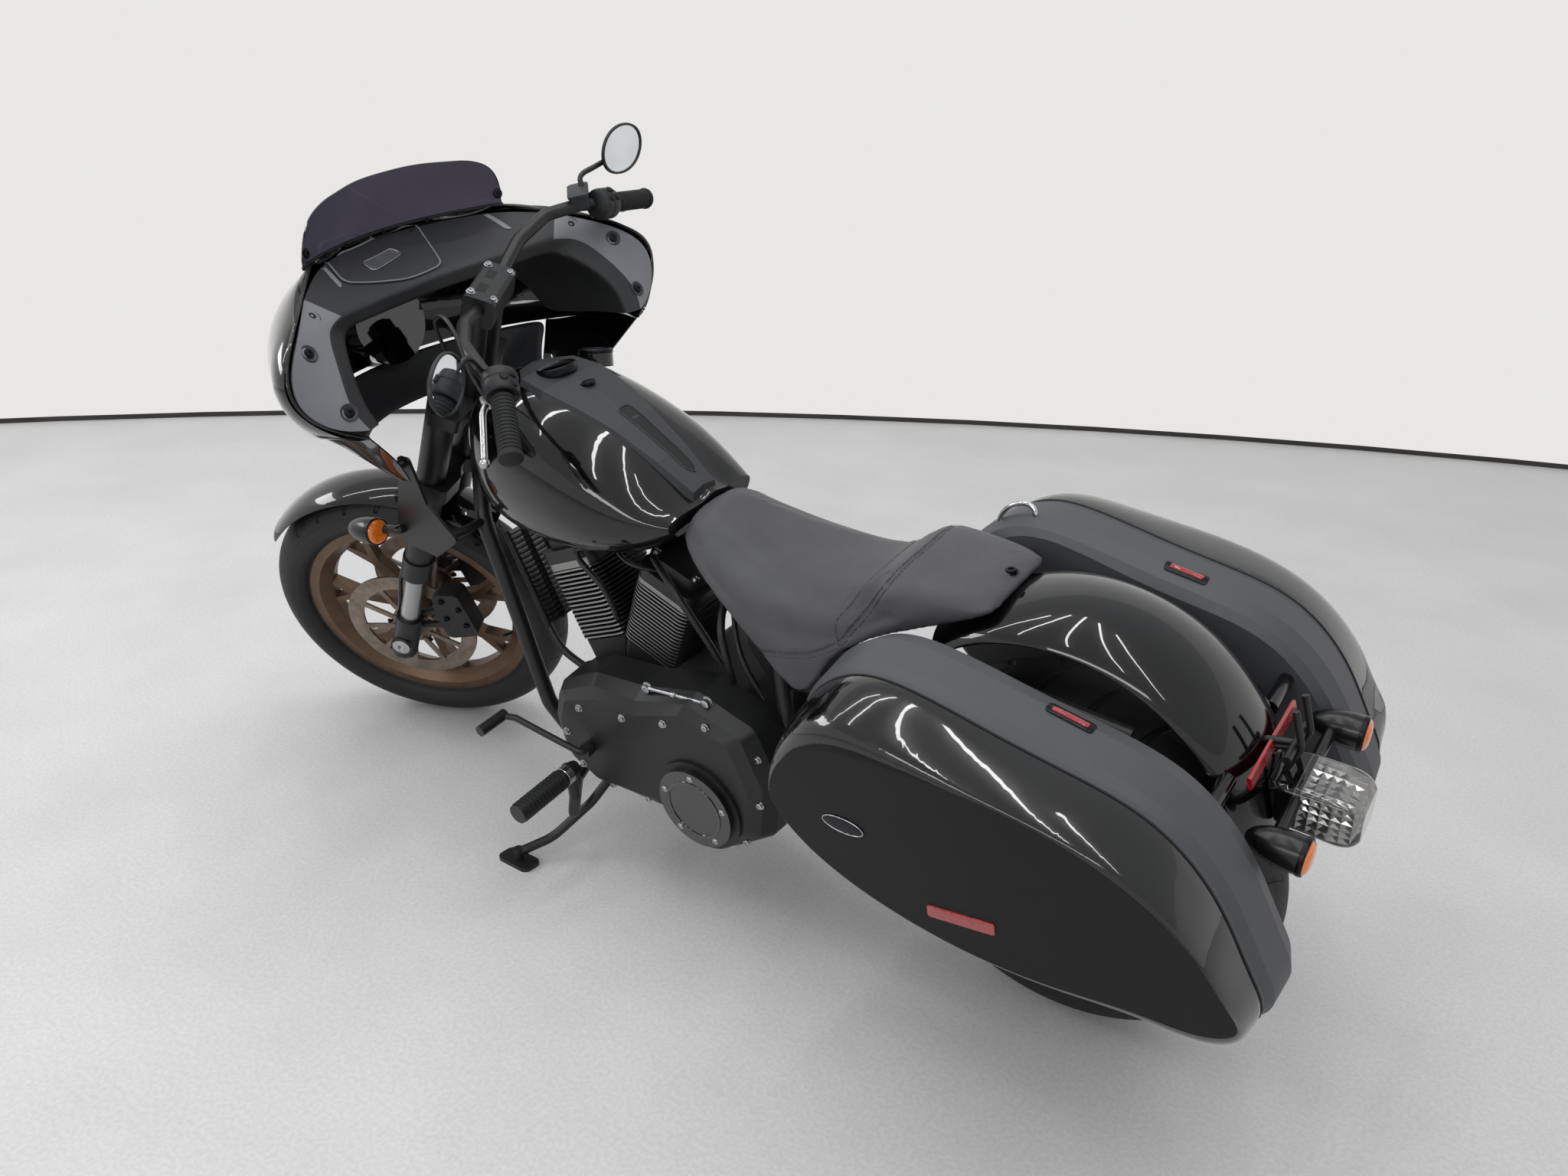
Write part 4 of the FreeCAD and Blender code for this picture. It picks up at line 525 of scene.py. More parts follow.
# Engine
# Aluminium castings in black wrinkle paint. The fins' rims are machined back to bright metal
# after painting, and the primary cover has plated socket-head bolts.

# Wrinkle paint: matte black with fine ridges about 1.6 mm apart.
wrinkle, shader = material("wrinkle_paint_black", "191a1c", 0.6)
mottle(wrinkle, shader, "202123", "131415", 1.6, (0.5, 0.68), 0.12)
# Case paint: smoother satin black.
satin_case, shader = material("case_paint_satin_black", "151617", 0.5)
mottle(satin_case, shader, "191a1b", "111213", 3.0, (0.36, 0.5), 0.03)
dress(wrinkle, "engine_case", "battery_box")
dress(satin_case, "primary_cover", "rocker_covers")

# Bright rims: faces that look along neither barrel's axis and lie in the outermost millimetres.
finned, shader = material("wrinkle_paint_black_machined_rims", "191a1c", 0.55)
mottle(finned, shader, "202123", "131415", 1.6, (0.48, 0.64), 0.08)
facing = machine_axes(finned, parked, output="Normal")
reach = None
for lean in (22.5, -22.5):
    a = math.radians(lean)
    along = add(finned, "ShaderNodeVectorMath", {"operation": "DOT_PRODUCT",
                                                 1: (math.sin(a), 0.0, math.cos(a))},
                _0=facing)
    size = add(finned, "ShaderNodeMath", {"operation": "ABSOLUTE"}, _0=along.outputs["Value"])
    if reach is None:
        reach = size
    else:
        reach = add(finned, "ShaderNodeMath", {"operation": "MAXIMUM"}, _0=reach.outputs["Value"],
                    _1=size.outputs["Value"])
rim = add(finned, "ShaderNodeMapRange", {"From Min": 0.8, "From Max": 0.84, "To Min": 1.0,
                                         "To Max": 0.0}, Value=reach.outputs["Value"])
across = add(finned, "ShaderNodeSeparateXYZ", {}, Vector=machine_axes(finned, parked, (0, 0, 0)))
wide = add(finned, "ShaderNodeMath", {"operation": "ABSOLUTE"}, _0=across.outputs["Y"])
outer = add(finned, "ShaderNodeMapRange", {"From Min": 0.068, "From Max": 0.070, "To Min": 0.0,
                                           "To Max": 1.0}, Value=wide.outputs["Value"])
bright = add(finned, "ShaderNodeMath", {"operation": "MULTIPLY"}, _0=rim.outputs["Result"],
             _1=outer.outputs["Result"])
painted_over(finned, shader, "a9a8a6", bright.outputs["Value"])
wire(bright.outputs["Value"], shader.inputs["Metallic"])
dress(finned, "cylinders")

def skin(name, holder=parked):
    """A solid's surface in mm on the machine, to lay trim on."""
    shape = bmesh.new()
    shape.from_mesh(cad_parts[name].data)
    shape.transform(Matrix.Scale(1000, 4) @ holder.inverted())
    tree = BVHTree.FromBMesh(shape)
    shape.free()
    return tree


def laid(tree, points, towards, lift=0.0):
    """Points dropped onto a surface along one direction; those that miss it are left out."""
    found = []
    for point in points:
        hit, normal, _, _ = tree.ray_cast(Vector(point), Vector(towards).normalized())
        if hit is not None:
            if normal.dot(Vector(towards)) > 0:
                normal = -normal
            found.append(hit + normal * lift)
    return found


primary_skin = skin("primary_cover")
shape = bmesh.new()
for x, z in ((918, 402), (805, 419), (702, 444), (605, 468), (513, 418), (966, 330), (936, 262),
             (868, 234), (780, 232), (506, 330), (548, 226)):
    for seat in laid(primary_skin, [(x, 400, z)], (0, -1, 0), -0.4):
        if seat.y > 160:
            bolt(shape, seat, (0, 1, 0), 6.2, 5.5)
mesh_object("primary_bolts", shape, zinc, "chassis", parked)

# Derby cover: gloss black that picks up the lamps.
lacquer_dark, shader = material("derby_cover_lacquer_black", "08080a", 0.18)
clear_coat(shader, 0.02)
mottle(lacquer_dark, shader, "0b0b0d", "060607", 50.0, (0.14, 0.22))
dress(lacquer_dark, "derby_cover")
shape = bmesh.new()
for k in range(5):
    a = math.radians(72 * k + 90)
    bolt(shape, (638 + 70 * math.cos(a), 222.7, 286 + 70 * math.sin(a)), (0, 1, 0), 4.8, 3.4)
mesh_object("derby_bolts", shape, zinc, "chassis", parked)
shape = bmesh.new()
lathe(shape, [(61.2, -0.4), (60.6, 1.4), (58.6, 2.2), (56.6, 1.4), (56, -0.4)],
      (638, 222.9, 286), (0, 1, 0), 72)
mesh_object("derby_raised_ring", shape, lacquer_dark, "chassis", parked)

# Oil line and sensor link: bright stainless over the primary's top.
shape = bmesh.new()
lathe(shape, [(4, 0), (4, 66), (6.5, 67), (6.5, 76), (4, 77), (4, 148)], (762, 176, 486),
      Vector((618 - 762, 0, 500 - 486)), 16)
bolt(shape, (758, 172, 484), (0, 1, 0), 8.5, 9)
bolt(shape, (618, 170, 500), (0, 1, 0), 8.5, 11)
mesh_object("shift_link", shape, zinc, "chassis", parked)

shape = bmesh.new()
for side in (1, -1):
    a = math.radians(22.5) * side
    axis = Vector((math.sin(a), 0, math.cos(a)))
    flat = Vector((math.cos(a), 0, -math.sin(a)))
    top = Vector((905, 0, 330)) + axis * (152 + 17 * 9 + 16 + 54)
    for f in (-46, 46):
        for y in (-50, 50):
            bolt(shape, top + flat * f + Vector((0, y, 0)) - axis * 0.5, axis, 6.0, 5.0)
mesh_object("rocker_bolts", shape, zinc, "chassis", parked)


# Oil cooler and hoses
# A finned black aluminium cooler between the frame's downtubes, with rubber hoses to the case, and
# the breather hoses and spark leads over the rocker boxes.

shape = bmesh.new()
cooler_up = Vector((0.34, 0, 0.94)).normalized()
cooler_out = Vector((cooler_up.z, 0, -cooler_up.x))
cooler_mid = Vector((1165, 0, 545))
for k in range(19):
    level = cooler_mid + cooler_up * (-99 + 11 * k)
    fin = []
    for lift in (-1.6, 1.6):
        fin.append([shape.verts.new(level + cooler_up * lift + cooler_out * d + Vector((0, y, 0)))
                    for d, y in ((-17, -60), (17, -60), (20, -50), (20, 50), (17, 60), (-17, 60))])
    for n in range(6):
        shape.faces.new((fin[0][n], fin[0][(n + 1) % 6], fin[1][(n + 1) % 6], fin[1][n]))
    shape.faces.new(list(reversed(fin[0])))
    shape.faces.new(fin[1])
for y in (-63, -21, 21, 63):
    lathe(shape, [(5, -108), (7, -104), (7, 104), (5, 108)], cooler_mid + Vector((0, y, 0)),
          cooler_up, 16)
mesh_object("oil_cooler", shape, cast_black, "chassis", parked)
hose_runs = {
    "cooler_hose_left": ([(1134, 60, 446), (1112, 66, 410), (1080, 62, 380), (1036, 60, 366)], 8),
    "breather_hose_front": ([(985, 66, 690), (978, 92, 664), (940, 98, 640), (905, 92, 600),
                             (900, 84, 540)], 6),
    "breather_hose_rear": ([(800, 66, 690), (742, 96, 668), (700, 100, 620), (668, 92, 560),
                            (650, 88, 520)], 7),
    "spark_lead_front": ([(1012, 58, 640), (986, 88, 668), (940, 92, 690), (900, 70, 700)], 4),
    "spark_lead_rear": ([(792, 60, 660), (820, 92, 676), (860, 92, 690), (900, 66, 700)], 4),
    "battery_cable": ([(620, 70, 640), (590, 112, 600), (560, 118, 540), (545, 104, 490)], 5),
    "wiring_loom": ([(640, 60, 660), (612, 124, 640), (600, 128, 570), (606, 110, 510)], 7)}
for name, (route, radius) in hose_runs.items():
    line_object(name, route, radius, sleeve, "chassis", kind="NURBS")


# Belt
# Reinforced rubber belt from the primary's sprocket to the rear pulley, smooth on both faces.

# Moulded rubber: dull black that scatters light.
rubber, shader = material("rubber_moulded", "131415", 0.68)
mottle(rubber, shader, "191a1b", "0f1011", 6.0, (0.58, 0.76), 0.05)
dress(rubber, "drive_belt")


# Exhausts and air cleaner
# Steel pipes and cans in black ceramic coat with dark rolled outlets and clamp bands, and a black
# filter can.

# Ceramic coat: smooth satin black, a little cloudy with heat.
ceramic, shader = material("ceramic_coat_black", "16171a", 0.36)
mottle(ceramic, shader, "1b1c1f", "111214", 4.0, (0.3, 0.46), 0.02)
dress(ceramic, "exhausts", "air_cleaner")
shape = bmesh.new()
for x, z in ((-60, 222), (-120, 312)):
    lathe(shape, [(42.6, 0), (43.4, 3), (42.6, 10), (36, 11), (34, 4), (33, -16)], (x + 8, -222, z),
          (-1, 0, 0), 48)
    lathe(shape, [(42.4, 0), (44.2, 1), (44.2, 13), (42.4, 14)], (x + 150, -222, z), (1, 0, 0), 48)
    lathe(shape, [(42.4, 0), (44.2, 1), (44.2, 13), (42.4, 14)], (x + 470, -222, z), (1, 0, 0), 48)
mesh_object("muffler_tips_and_bands", shape, black_zinc, "chassis", parked)


# Fuel tank
# Steel shell in the same deep gloss black lacquer as the fairing and the bags' lids.

dress(lacquer, "fuel_tank")


def inlay(shape, tree, outline, towards, lift, depth=1.5, rings=5):
    """A thin raised panel with its outline dropped onto a surface along one direction."""
    middle = sum((Vector(p) for p in outline), Vector()) / len(outline)
    rows = []
    for k in range(rings, 0, -1):
        row = [middle + (Vector(p) - middle) * (k / rings) for p in outline]
        rows.append(laid(tree, row, towards, lift if k < rings else lift * 0.7))
    foot = laid(tree, [middle + (Vector(p) - middle) * 1.004 for p in outline], towards, -depth)
    tip = laid(tree, [middle], towards, lift)
    if any(len(row) != len(outline) for row in rows + [foot]) or not tip:
        return False
    made = [[shape.verts.new(p) for p in row] for row in [foot] + rows]
    for low, high in zip(made, made[1:]):
        for k in range(len(outline)):
            n = (k + 1) % len(outline)
            shape.faces.new((low[k], low[n], high[n], high[k]))
    crown = shape.verts.new(tip[0])
    for k in range(len(outline)):
        shape.faces.new((made[-1][k], made[-1][(k + 1) % len(outline)], crown))
    return True


def rounded(corners, radius, steps=6):
    """An outline through corners given as points, each rounded."""
    outline = []
    count = len(corners)
    for k in range(count):
        here = Vector(corners[k])
        before = (Vector(corners[k - 1]) - here)
        after = (Vector(corners[(k + 1) % count]) - here)
        cut = min(radius, before.length * 0.45, after.length * 0.45)
        a = here + before.normalized() * cut
        b = here + after.normalized() * cut
        for s in range(steps + 1):
            t = s / steps
            outline.append(a * (1 - t) ** 2 + here * 2 * t * (1 - t) + b * t ** 2)
    dense = []
    for a, b in zip(outline, outline[1:] + outline[:1]):
        parts = max(1, int((b - a).length / 8))
        dense += [a + (b - a) * (s / parts) for s in range(parts)]
    return dense


# Tank console
# Moulded matte panel along the tank's spine: a round dial with a glass and bezel, a round push
# button and a long pressed groove. The filler cap stands beside it.

# Moulded ABS: matte charcoal with a fine grain.
abs_black, shader = material("abs_moulded_matte_black", "2f3033", 0.5)
mottle(abs_black, shader, "343538", "2a2b2e", 1.2, (0.46, 0.58), 0.04)
dress(abs_black, "tank_console")
# Dark ABS: darker and rougher. It is the switch buttons' own colour; on the console groove's floor
# and the riser windows it is painted shade, so hollows read deep.
abs_dark_and_hollow_shade, shader = material("abs_dark_and_painted_hollow_shade", "0d0e10", 0.7)
mottle(abs_dark_and_hollow_shade, shader, "121315", "090a0b", 2.0, (0.6, 0.78), 0.05)

console_skin = skin("tank_console")
down = Vector((0, 0, -1))
dial_seat = laid(console_skin, [(1037, 0, 1200)], down)[0]
dial_normal = Vector((0.18, 0, 1)).normalized()
shape = bmesh.new()
lathe(shape, [(37, -8), (38.5, 1), (37.5, 5), (35, 6.4), (32.6, 5), (31.6, 2), (31, -2)], dial_seat,
      dial_normal, 64)
mesh_object("dial_bezel", shape, black_zinc, "chassis", parked)
# Dial face: printed black with a soft sheen.
dial_face, shader = material("dial_face_printed_black", "101113", 0.4)
mottle(dial_face, shader, "131416", "0c0d0e", 20.0, (0.34, 0.46))
shape = bmesh.new()
lathe(shape, [(31.4, 0), (31.4, 1.2), (14, 1.3), (13, 1.6)], dial_seat, dial_normal, 48)
mesh_object("dial_face", shape, dial_face, "chassis", parked)
# Dial ink: flat warm white.
ink, shader = material("dial_ink_white", "d8d8d2", 0.5)
mottle(ink, shader, "dededa", "c9c9c4", 10.0)
shape = bmesh.new()
side = Vector((0, 1, 0))
ahead = side.cross(dial_normal)
for k in range(25):
    a = math.radians(-130 + 260 * k / 24)
    out = side * math.sin(a) + ahead * math.cos(a)
    wide = out.cross(dial_normal) * (0.9 if k % 6 else 1.5)
    near = 22 if k % 6 == 0 else 25
    base = dial_seat + dial_normal * 1.9
    corners = [base + out * near - wide, base + out * near + wide, base + out * 28.5 + wide,
               base + out * 28.5 - wide]
    shape.faces.new([shape.verts.new(p) for p in corners])
a = math.radians(40)
out = side * math.sin(a) + ahead * math.cos(a)
wide = out.cross(dial_normal)
base = dial_seat + dial_normal * 2.6
corners = [base - out * 6 - wide * 1.5, base - out * 6 + wide * 1.5, base + out * 23 + wide * 0.4,
           base + out * 23 - wide * 0.4]
shape.faces.new([shape.verts.new(p) for p in corners])
mesh_object("dial_marks_and_needle", shape, ink, "chassis", parked)
# Dial glass: clear and slightly domed.
glass, shader = material("dial_glass", "f4f6f6", 0.03)
shader.inputs["Transmission Weight"].default_value = 1.0
shader.inputs["IOR"].default_value = 1.52
mottle(glass, shader, "f6f8f8", "eef1f1", 40.0)
shape = bmesh.new()
lathe(shape, [(32.4, 3.2), (32.2, 4.0), (24, 5.1), (12, 5.7), (3, 5.9)], dial_seat, dial_normal, 48)
mesh_object("dial_glass", shape, glass, "chassis", parked)

button_seat = laid(console_skin, [(967, -4, 1200)], down)[0]
shape = bmesh.new()
lathe(shape, [(15, -3), (15.6, 1.2), (14.4, 2.6), (12.2, 2.6), (11.8, 0.9), (11.2, 0.9),
              (10.6, 3.4), (8, 4.6), (2, 5)], button_seat, (0.25, 0, 1), 40)
mesh_object("console_button", shape, black_zinc, "chassis", parked)

# The groove's floor is painted dark as the shade in the hollow.
shape = bmesh.new()
groove = rounded([(888, 13, 1200), (888, -20, 1200), (748, -18, 1200), (736, -6, 1200),
                  (748, 6, 1200)], 12)
inlay(shape, console_skin, groove, down, 0.5, 1.0, 4)
mesh_object("console_groove_floor", shape, abs_dark_and_hollow_shade, "chassis", parked)
groove_line = laid(console_skin, groove, down, 0.6)
line_object("console_groove_edge", groove_line, 1.3, abs_black, "chassis", closed=True)

dress(lacquer, "fuel_cap")
shape = bmesh.new()
cap_axis = Vector((4, -8, 30)).normalized()
lathe(shape, [(33.2, -6), (33.8, -4), (33.8, 0.5), (31, 3), (26, 3.6), (24.8, 2.6), (12, 2.8)],
      Vector((1060, -122, 950)) + cap_axis * 31.0, cap_axis, 56)
mesh_object("fuel_cap_crown", shape, black_zinc, "chassis", parked)


# Seat
# Foam on a moulded base under smooth black leather: a rider's bucket, a raised hump behind it
# and a flap down each side. The panels meet at seams with a row of stitches on each side.

# Leather: charcoal with 2 mm pores and soft creases.
leather, shader = material("leather_smooth_black", "4a4a4d", 0.44)
mottle(leather, shader, "4f4f52", "444447", 60.0, (0.38, 0.52), 0.0)
pore_place = add(leather, "ShaderNodeTexCoord")
pore = add(leather, "ShaderNodeTexVoronoi", {"Scale": 520.0, "feature": "DISTANCE_TO_EDGE"},
           Vector=pore_place.outputs["Object"])
crease = add(leather, "ShaderNodeTexNoise", {"Scale": 24.0, "Detail": 5.0},
             Vector=pore_place.outputs["Object"])
pore_depth = add(leather, "ShaderNodeMapRange", {"From Min": 0.0, "From Max": 0.12, "To Min": 0.0,
                                                 "To Max": 0.22}, Value=pore.outputs["Distance"])
both = add(leather, "ShaderNodeMath", {"operation": "ADD"}, _0=pore_depth.outputs["Result"],
           _1=crease.outputs["Fac"])
relief = add(leather, "ShaderNodeBump", {"Distance": 0.0009}, Height=both.outputs["Value"])
wire(relief.outputs["Normal"], shader.inputs["Normal"])

# Rings down the seat: place, half width at the shoulder, top, foot of the side, half width there,
# and the base's height.
seat_rings = [
    (702, 74, 800, 772, 80, 776), (690, 92, 806, 762, 98, 768), (662, 112, 798, 740, 120, 750),
    (592, 138, 769, 700, 146, 712), (530, 152, 752, 656, 157, 694), (490, 157, 747, 620, 160, 688),
    (455, 158, 744, 586, 161, 688), (425, 157, 744, 572, 161, 690), (396, 155, 747, 600, 160, 696),
    (368, 151, 752, 650, 157, 704), (344, 147, 760, 676, 152, 708), (326, 144, 771, 688, 148, 712),
    (306, 139, 790, 700, 143, 722), (286, 135, 804, 712, 138, 730), (262, 129, 809, 722, 132, 738),
    (205, 116, 812, 744, 119, 752), (150, 104, 811, 764, 107, 770), (118, 92, 806, 776, 95, 780),
    (106, 78, 798, 782, 80, 785)]
shape = bmesh.new()
rings = []
for x, wide, top, foot, foot_wide, base in seat_rings:
    boxy = 1.0 if x < 300 else 0.0
    under = max(base, foot + 6)
    half = [(0, top), (0.36 * wide, top - 1), (0.66 * wide, top - 4 + boxy * 2),
            ((0.84 + 0.05 * boxy) * wide, top - 12 + boxy * 4),
            ((0.95 + 0.02 * boxy) * wide, top - 26 + boxy * 4), (wide, top - 0.5 * (top - foot)),
            (foot_wide, foot + 9), (foot_wide - 4, foot), (foot_wide - 15, foot + 3),
            (foot_wide - 20, under), (0.5 * wide, under), (0, under)]
    points = [(x, y, z) for y, z in half] + [(x, -y, z) for y, z in reversed(half[1:-1])]
    rings.append([shape.verts.new(parked @ (Vector(p) / 1000)) for p in points])
for a, b in zip(rings, rings[1:]):
    for k in range(len(a)):
        n = (k + 1) % len(a)
        shape.faces.new((a[k], a[n], b[n], b[k]))
shape.faces.new(list(reversed(rings[0])))
shape.faces.new(rings[-1])
seat = mesh_object("seat_cushion", shape, leather, "chassis", edge=180.0)
fuller = seat.modifiers.new("fuller", "SUBSURF")
fuller.levels = fuller.render_levels = 2
remesh = seat.modifiers.new("skin", "REMESH")
remesh.mode = "VOXEL"
remesh.voxel_size = 0.006
remesh.use_smooth_shade = True


def settle(piece):
    """Replaces a piece's mesh by what its modifiers make of it."""
    view = bpy.context.evaluated_depsgraph_get()
    view.update()
    made = bpy.data.meshes.new_from_object(piece.evaluated_get(view))
    piece.modifiers.clear()
    piece.data = made


settle(seat)
unpadded = [vert.co.copy() for vert in seat.data.vertices]
upright_back = parked.inverted()


def between(table, x):
    """Reads a table of (x, value) pairs that run from high x to low."""
    for (x0, z0), (x1, z1) in zip(table, table[1:]):
        if x1 <= x <= x0:
            return z0 + (z1 - z0) * (x0 - x) / (x0 - x1)
    return table[0][1] if x > table[0][0] else table[-1][1]


held = seat.vertex_groups.new(name="base")
for vert in seat.data.vertices:
    spot = upright_back @ vert.co * 1000
    foot = between([(ring[0], ring[3]) for ring in seat_rings], spot.x)
    inside = between([(ring[0], ring[4]) for ring in seat_rings], spot.x) - 10
    if spot.z < foot + 14 or (spot.z < foot + 90 and abs(spot.y) < inside
                              and vert.normal.z < -0.1):
        held.add([vert.index], 1.0, "REPLACE")
cloth = seat.modifiers.new("cover", "CLOTH")
cloth.settings.quality = 6
cloth.settings.use_pressure = True
cloth.settings.uniform_pressure_force = 4.0
cloth.settings.tension_stiffness = 20
cloth.settings.compression_stiffness = 20
cloth.settings.bending_stiffness = 1.0
cloth.settings.effector_weights.gravity = 0.0
cloth.settings.vertex_group_mass = "base"
settling_frames = 20
cloth.point_cache.frame_start = 1
cloth.point_cache.frame_end = settling_frames
for step in range(1, settling_frames + 1):
    bpy.context.scene.frame_set(step)
settle(seat)
bpy.context.scene.frame_set(1)
most_swell = 0.006
for vert, first in zip(seat.data.vertices, unpadded):
    moved = vert.co - first
    if moved.length > most_swell:
        vert.co = first + moved * (most_swell / moved.length)

smooth = seat.modifiers.new("finer", "SUBSURF")
smooth.levels = 1
smooth.render_levels = 1
settle(seat)

# Seams: over the hump's crest and down each side to the skirt, and along the hump's foot.
seat_tree_shape = bmesh.new()
seat_tree_shape.from_mesh(seat.data)
seat_tree_shape.transform(Matrix.Scale(1000, 4) @ upright_back)
seat_skin = BVHTree.FromBMesh(seat_tree_shape)
seat_tree_shape.free()


def followed(path, steps=6):
    """The seam through a few points, eased between them and laid on the leather."""
    path = [Vector(p) for p in path]
    dense = []
    for k in range(len(path) - 1):
        a, b = path[max(k - 1, 0)], path[k]
        c, d = path[k + 1], path[min(k + 2, len(path) - 1)]
        for step in range(steps):
            t = step / steps
            dense.append(0.5 * (2 * b + (c - a) * t + (2 * a - 5 * b + 4 * c - d) * t * t
                                + (3 * b - a - 3 * c + d) * t * t * t))
    dense.append(path[-1])
    return [seat_skin.find_nearest(p)[0] for p in dense]


crest_side = [(520, 160, 628), (470, 163, 640), (425, 163, 652), (385, 162, 668), (350, 156, 694),
              (320, 148, 730), (298, 140, 768), (283, 122, 800), (276, 90, 812), (272, 45, 816)]
crest = crest_side + [(271, 0, 817)] + [(x, -y, z) for x, y, z in reversed(crest_side)]
foot_side = [(352, 156, 692), (362, 150, 722), (358, 138, 748), (346, 112, 762), (336, 70, 768),
             (333, 30, 770)]
foot = foot_side + [(332, 0, 770)] + [(x, -y, z) for x, y, z in reversed(foot_side)]
seams = [followed(crest), followed(foot)]

marks = KDTree(sum(len(seam) * 4 for seam in seams))
count = 0
for seam in seams:
    for a, b in zip(seam, seam[1:]):
        for t in range(4):
            marks.insert(parked @ (a.lerp(b, t / 4) / 1000), count)
            count += 1
marks.balance()
channel_reach, channel_depth = 0.009, 0.0028
normals = [vert.normal.copy() for vert in seat.data.vertices]
for vert, normal in zip(seat.data.vertices, normals):
    _, _, away = marks.find(vert.co)
    if away < channel_reach:
        vert.co -= normal * (channel_depth * (1 - away / channel_reach) ** 1.5)
seat.data.shade_smooth()
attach(seat, "chassis")
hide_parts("seat")

# Polyester thread: dull black twist.
thread, shader = material("thread_polyester_black", "232325", 0.6)
mottle(thread, shader, "2c2c2f", "1a1a1c", 1.0, (0.5, 0.7))
stitch_pitch, stitch_half, stitch_offset = 6.0, 2.0, 4.5
shape = bmesh.new()
for number, seam in enumerate(seams):
    run = 0.0
    for a, b in zip(seam, seam[1:]):
        step = b - a
        if step.length < 0.5 or step.length > 40:
            continue
        along = step.normalized()
        place = run % stitch_pitch
        while place < step.length:
            middle = a + along * place
            near, normal, _, _ = seat_skin.find_nearest(middle)
            across = along.cross(normal).normalized()
            for offset in ((-stitch_offset, stitch_offset) if number == 0 else (stitch_offset,)):
                spot, up, _, _ = seat_skin.find_nearest(middle + across * offset)
                if spot is None:
                    continue
                spot = spot + up * 0.15
                ends = (spot - along * stitch_half, spot + along * stitch_half)
                ring = []
                for end in ends:
                    ring.append([shape.verts.new(end + p)
                                 for p in (across * 0.6, up * 0.75, across * -0.6)])
                for k in range(3):
                    n = (k + 1) % 3
                    shape.faces.new((ring[0][k], ring[0][n], ring[1][n], ring[1][k]))
            place += stitch_pitch
        run = (run + step.length) % stitch_pitch
mesh_object("seat_stitches", shape, thread, "chassis", parked, 80)

shape = bmesh.new()
bolt(shape, laid(seat_skin, [(126, 0, 900)], down)[0] - Vector((0, 0, 2)), (0.1, 0, 1), 9, 6)
mesh_object("seat_screw", shape, black_zinc, "chassis", parked)


# Rear fender and rails
# Pressed steel guard in gloss black lacquer, carried by the frame's rails.

dress(lacquer, "rear_fender")


# Saddlebags
# Moulded bags in two halves: a matte inner half with a raised band, and a gloss lacquered lid
# hinged at its foot, sealed by a rubber gasket. A red reflector strip is bonded low on each lid
# and a bare oval plate near its front; the right bag has a chromed hand ring.

# Bag shell ABS: satin grey black.
bag_plastic, shader = material("abs_satin_bag_shell", "48494c", 0.46)
mottle(bag_plastic, shader, "4d4e51", "434447", 1.2, (0.42, 0.54), 0.03)
dress(bag_plastic, "bag_shell_left", "bag_shell_right")
# The lids' shoulders are lacquered; their flat outer faces are left in a satin texture.
lid_paint, shader = material("lid_lacquer_with_satin_face", "08080a", 0.2)
shader.inputs["Specular IOR Level"].default_value = 0.25
shader.inputs["Coat Roughness"].default_value = 0.025
mottle(lid_paint, shader, "0a0a0c", "060607", 60.0)
facing = add(lid_paint, "ShaderNodeSeparateXYZ", {},
             Vector=machine_axes(lid_paint, parked, output="Normal"))
square = add(lid_paint, "ShaderNodeMath", {"operation": "ABSOLUTE"}, _0=facing.outputs["Y"])
flat = add(lid_paint, "ShaderNodeMapRange", {"From Min": 0.978, "From Max": 0.986},
           Value=square.outputs["Value"])
matt = add(lid_paint, "ShaderNodeMapRange", {"To Min": 0.16, "To Max": 0.5},
           Value=flat.outputs["Result"])
wire(matt.outputs["Result"], shader.inputs["Roughness"])
coat = add(lid_paint, "ShaderNodeMapRange", {"To Min": 1.0, "To Max": 0.0},
           Value=flat.outputs["Result"])
wire(coat.outputs["Result"], shader.inputs["Coat Weight"])
dress(lid_paint, "bag_lid_left", "bag_lid_right")
# Red acrylic: clear gloss over small prisms.
red, shader = material("reflector_acrylic_red", "a3121a", 0.1)
clear_coat(shader, 0.03)
mottle(red, shader, "b3151d", "8b0e15", 8.0, (0.08, 0.14))
cell_place = add(red, "ShaderNodeTexCoord")
cell = add(red, "ShaderNodeTexVoronoi", {"Scale": 380.0}, Vector=cell_place.outputs["Object"])
prism = add(red, "ShaderNodeBump", {"Distance": 0.0006}, Height=cell.outputs["Distance"])
wire(prism.outputs["Normal"], shader.inputs["Normal"])

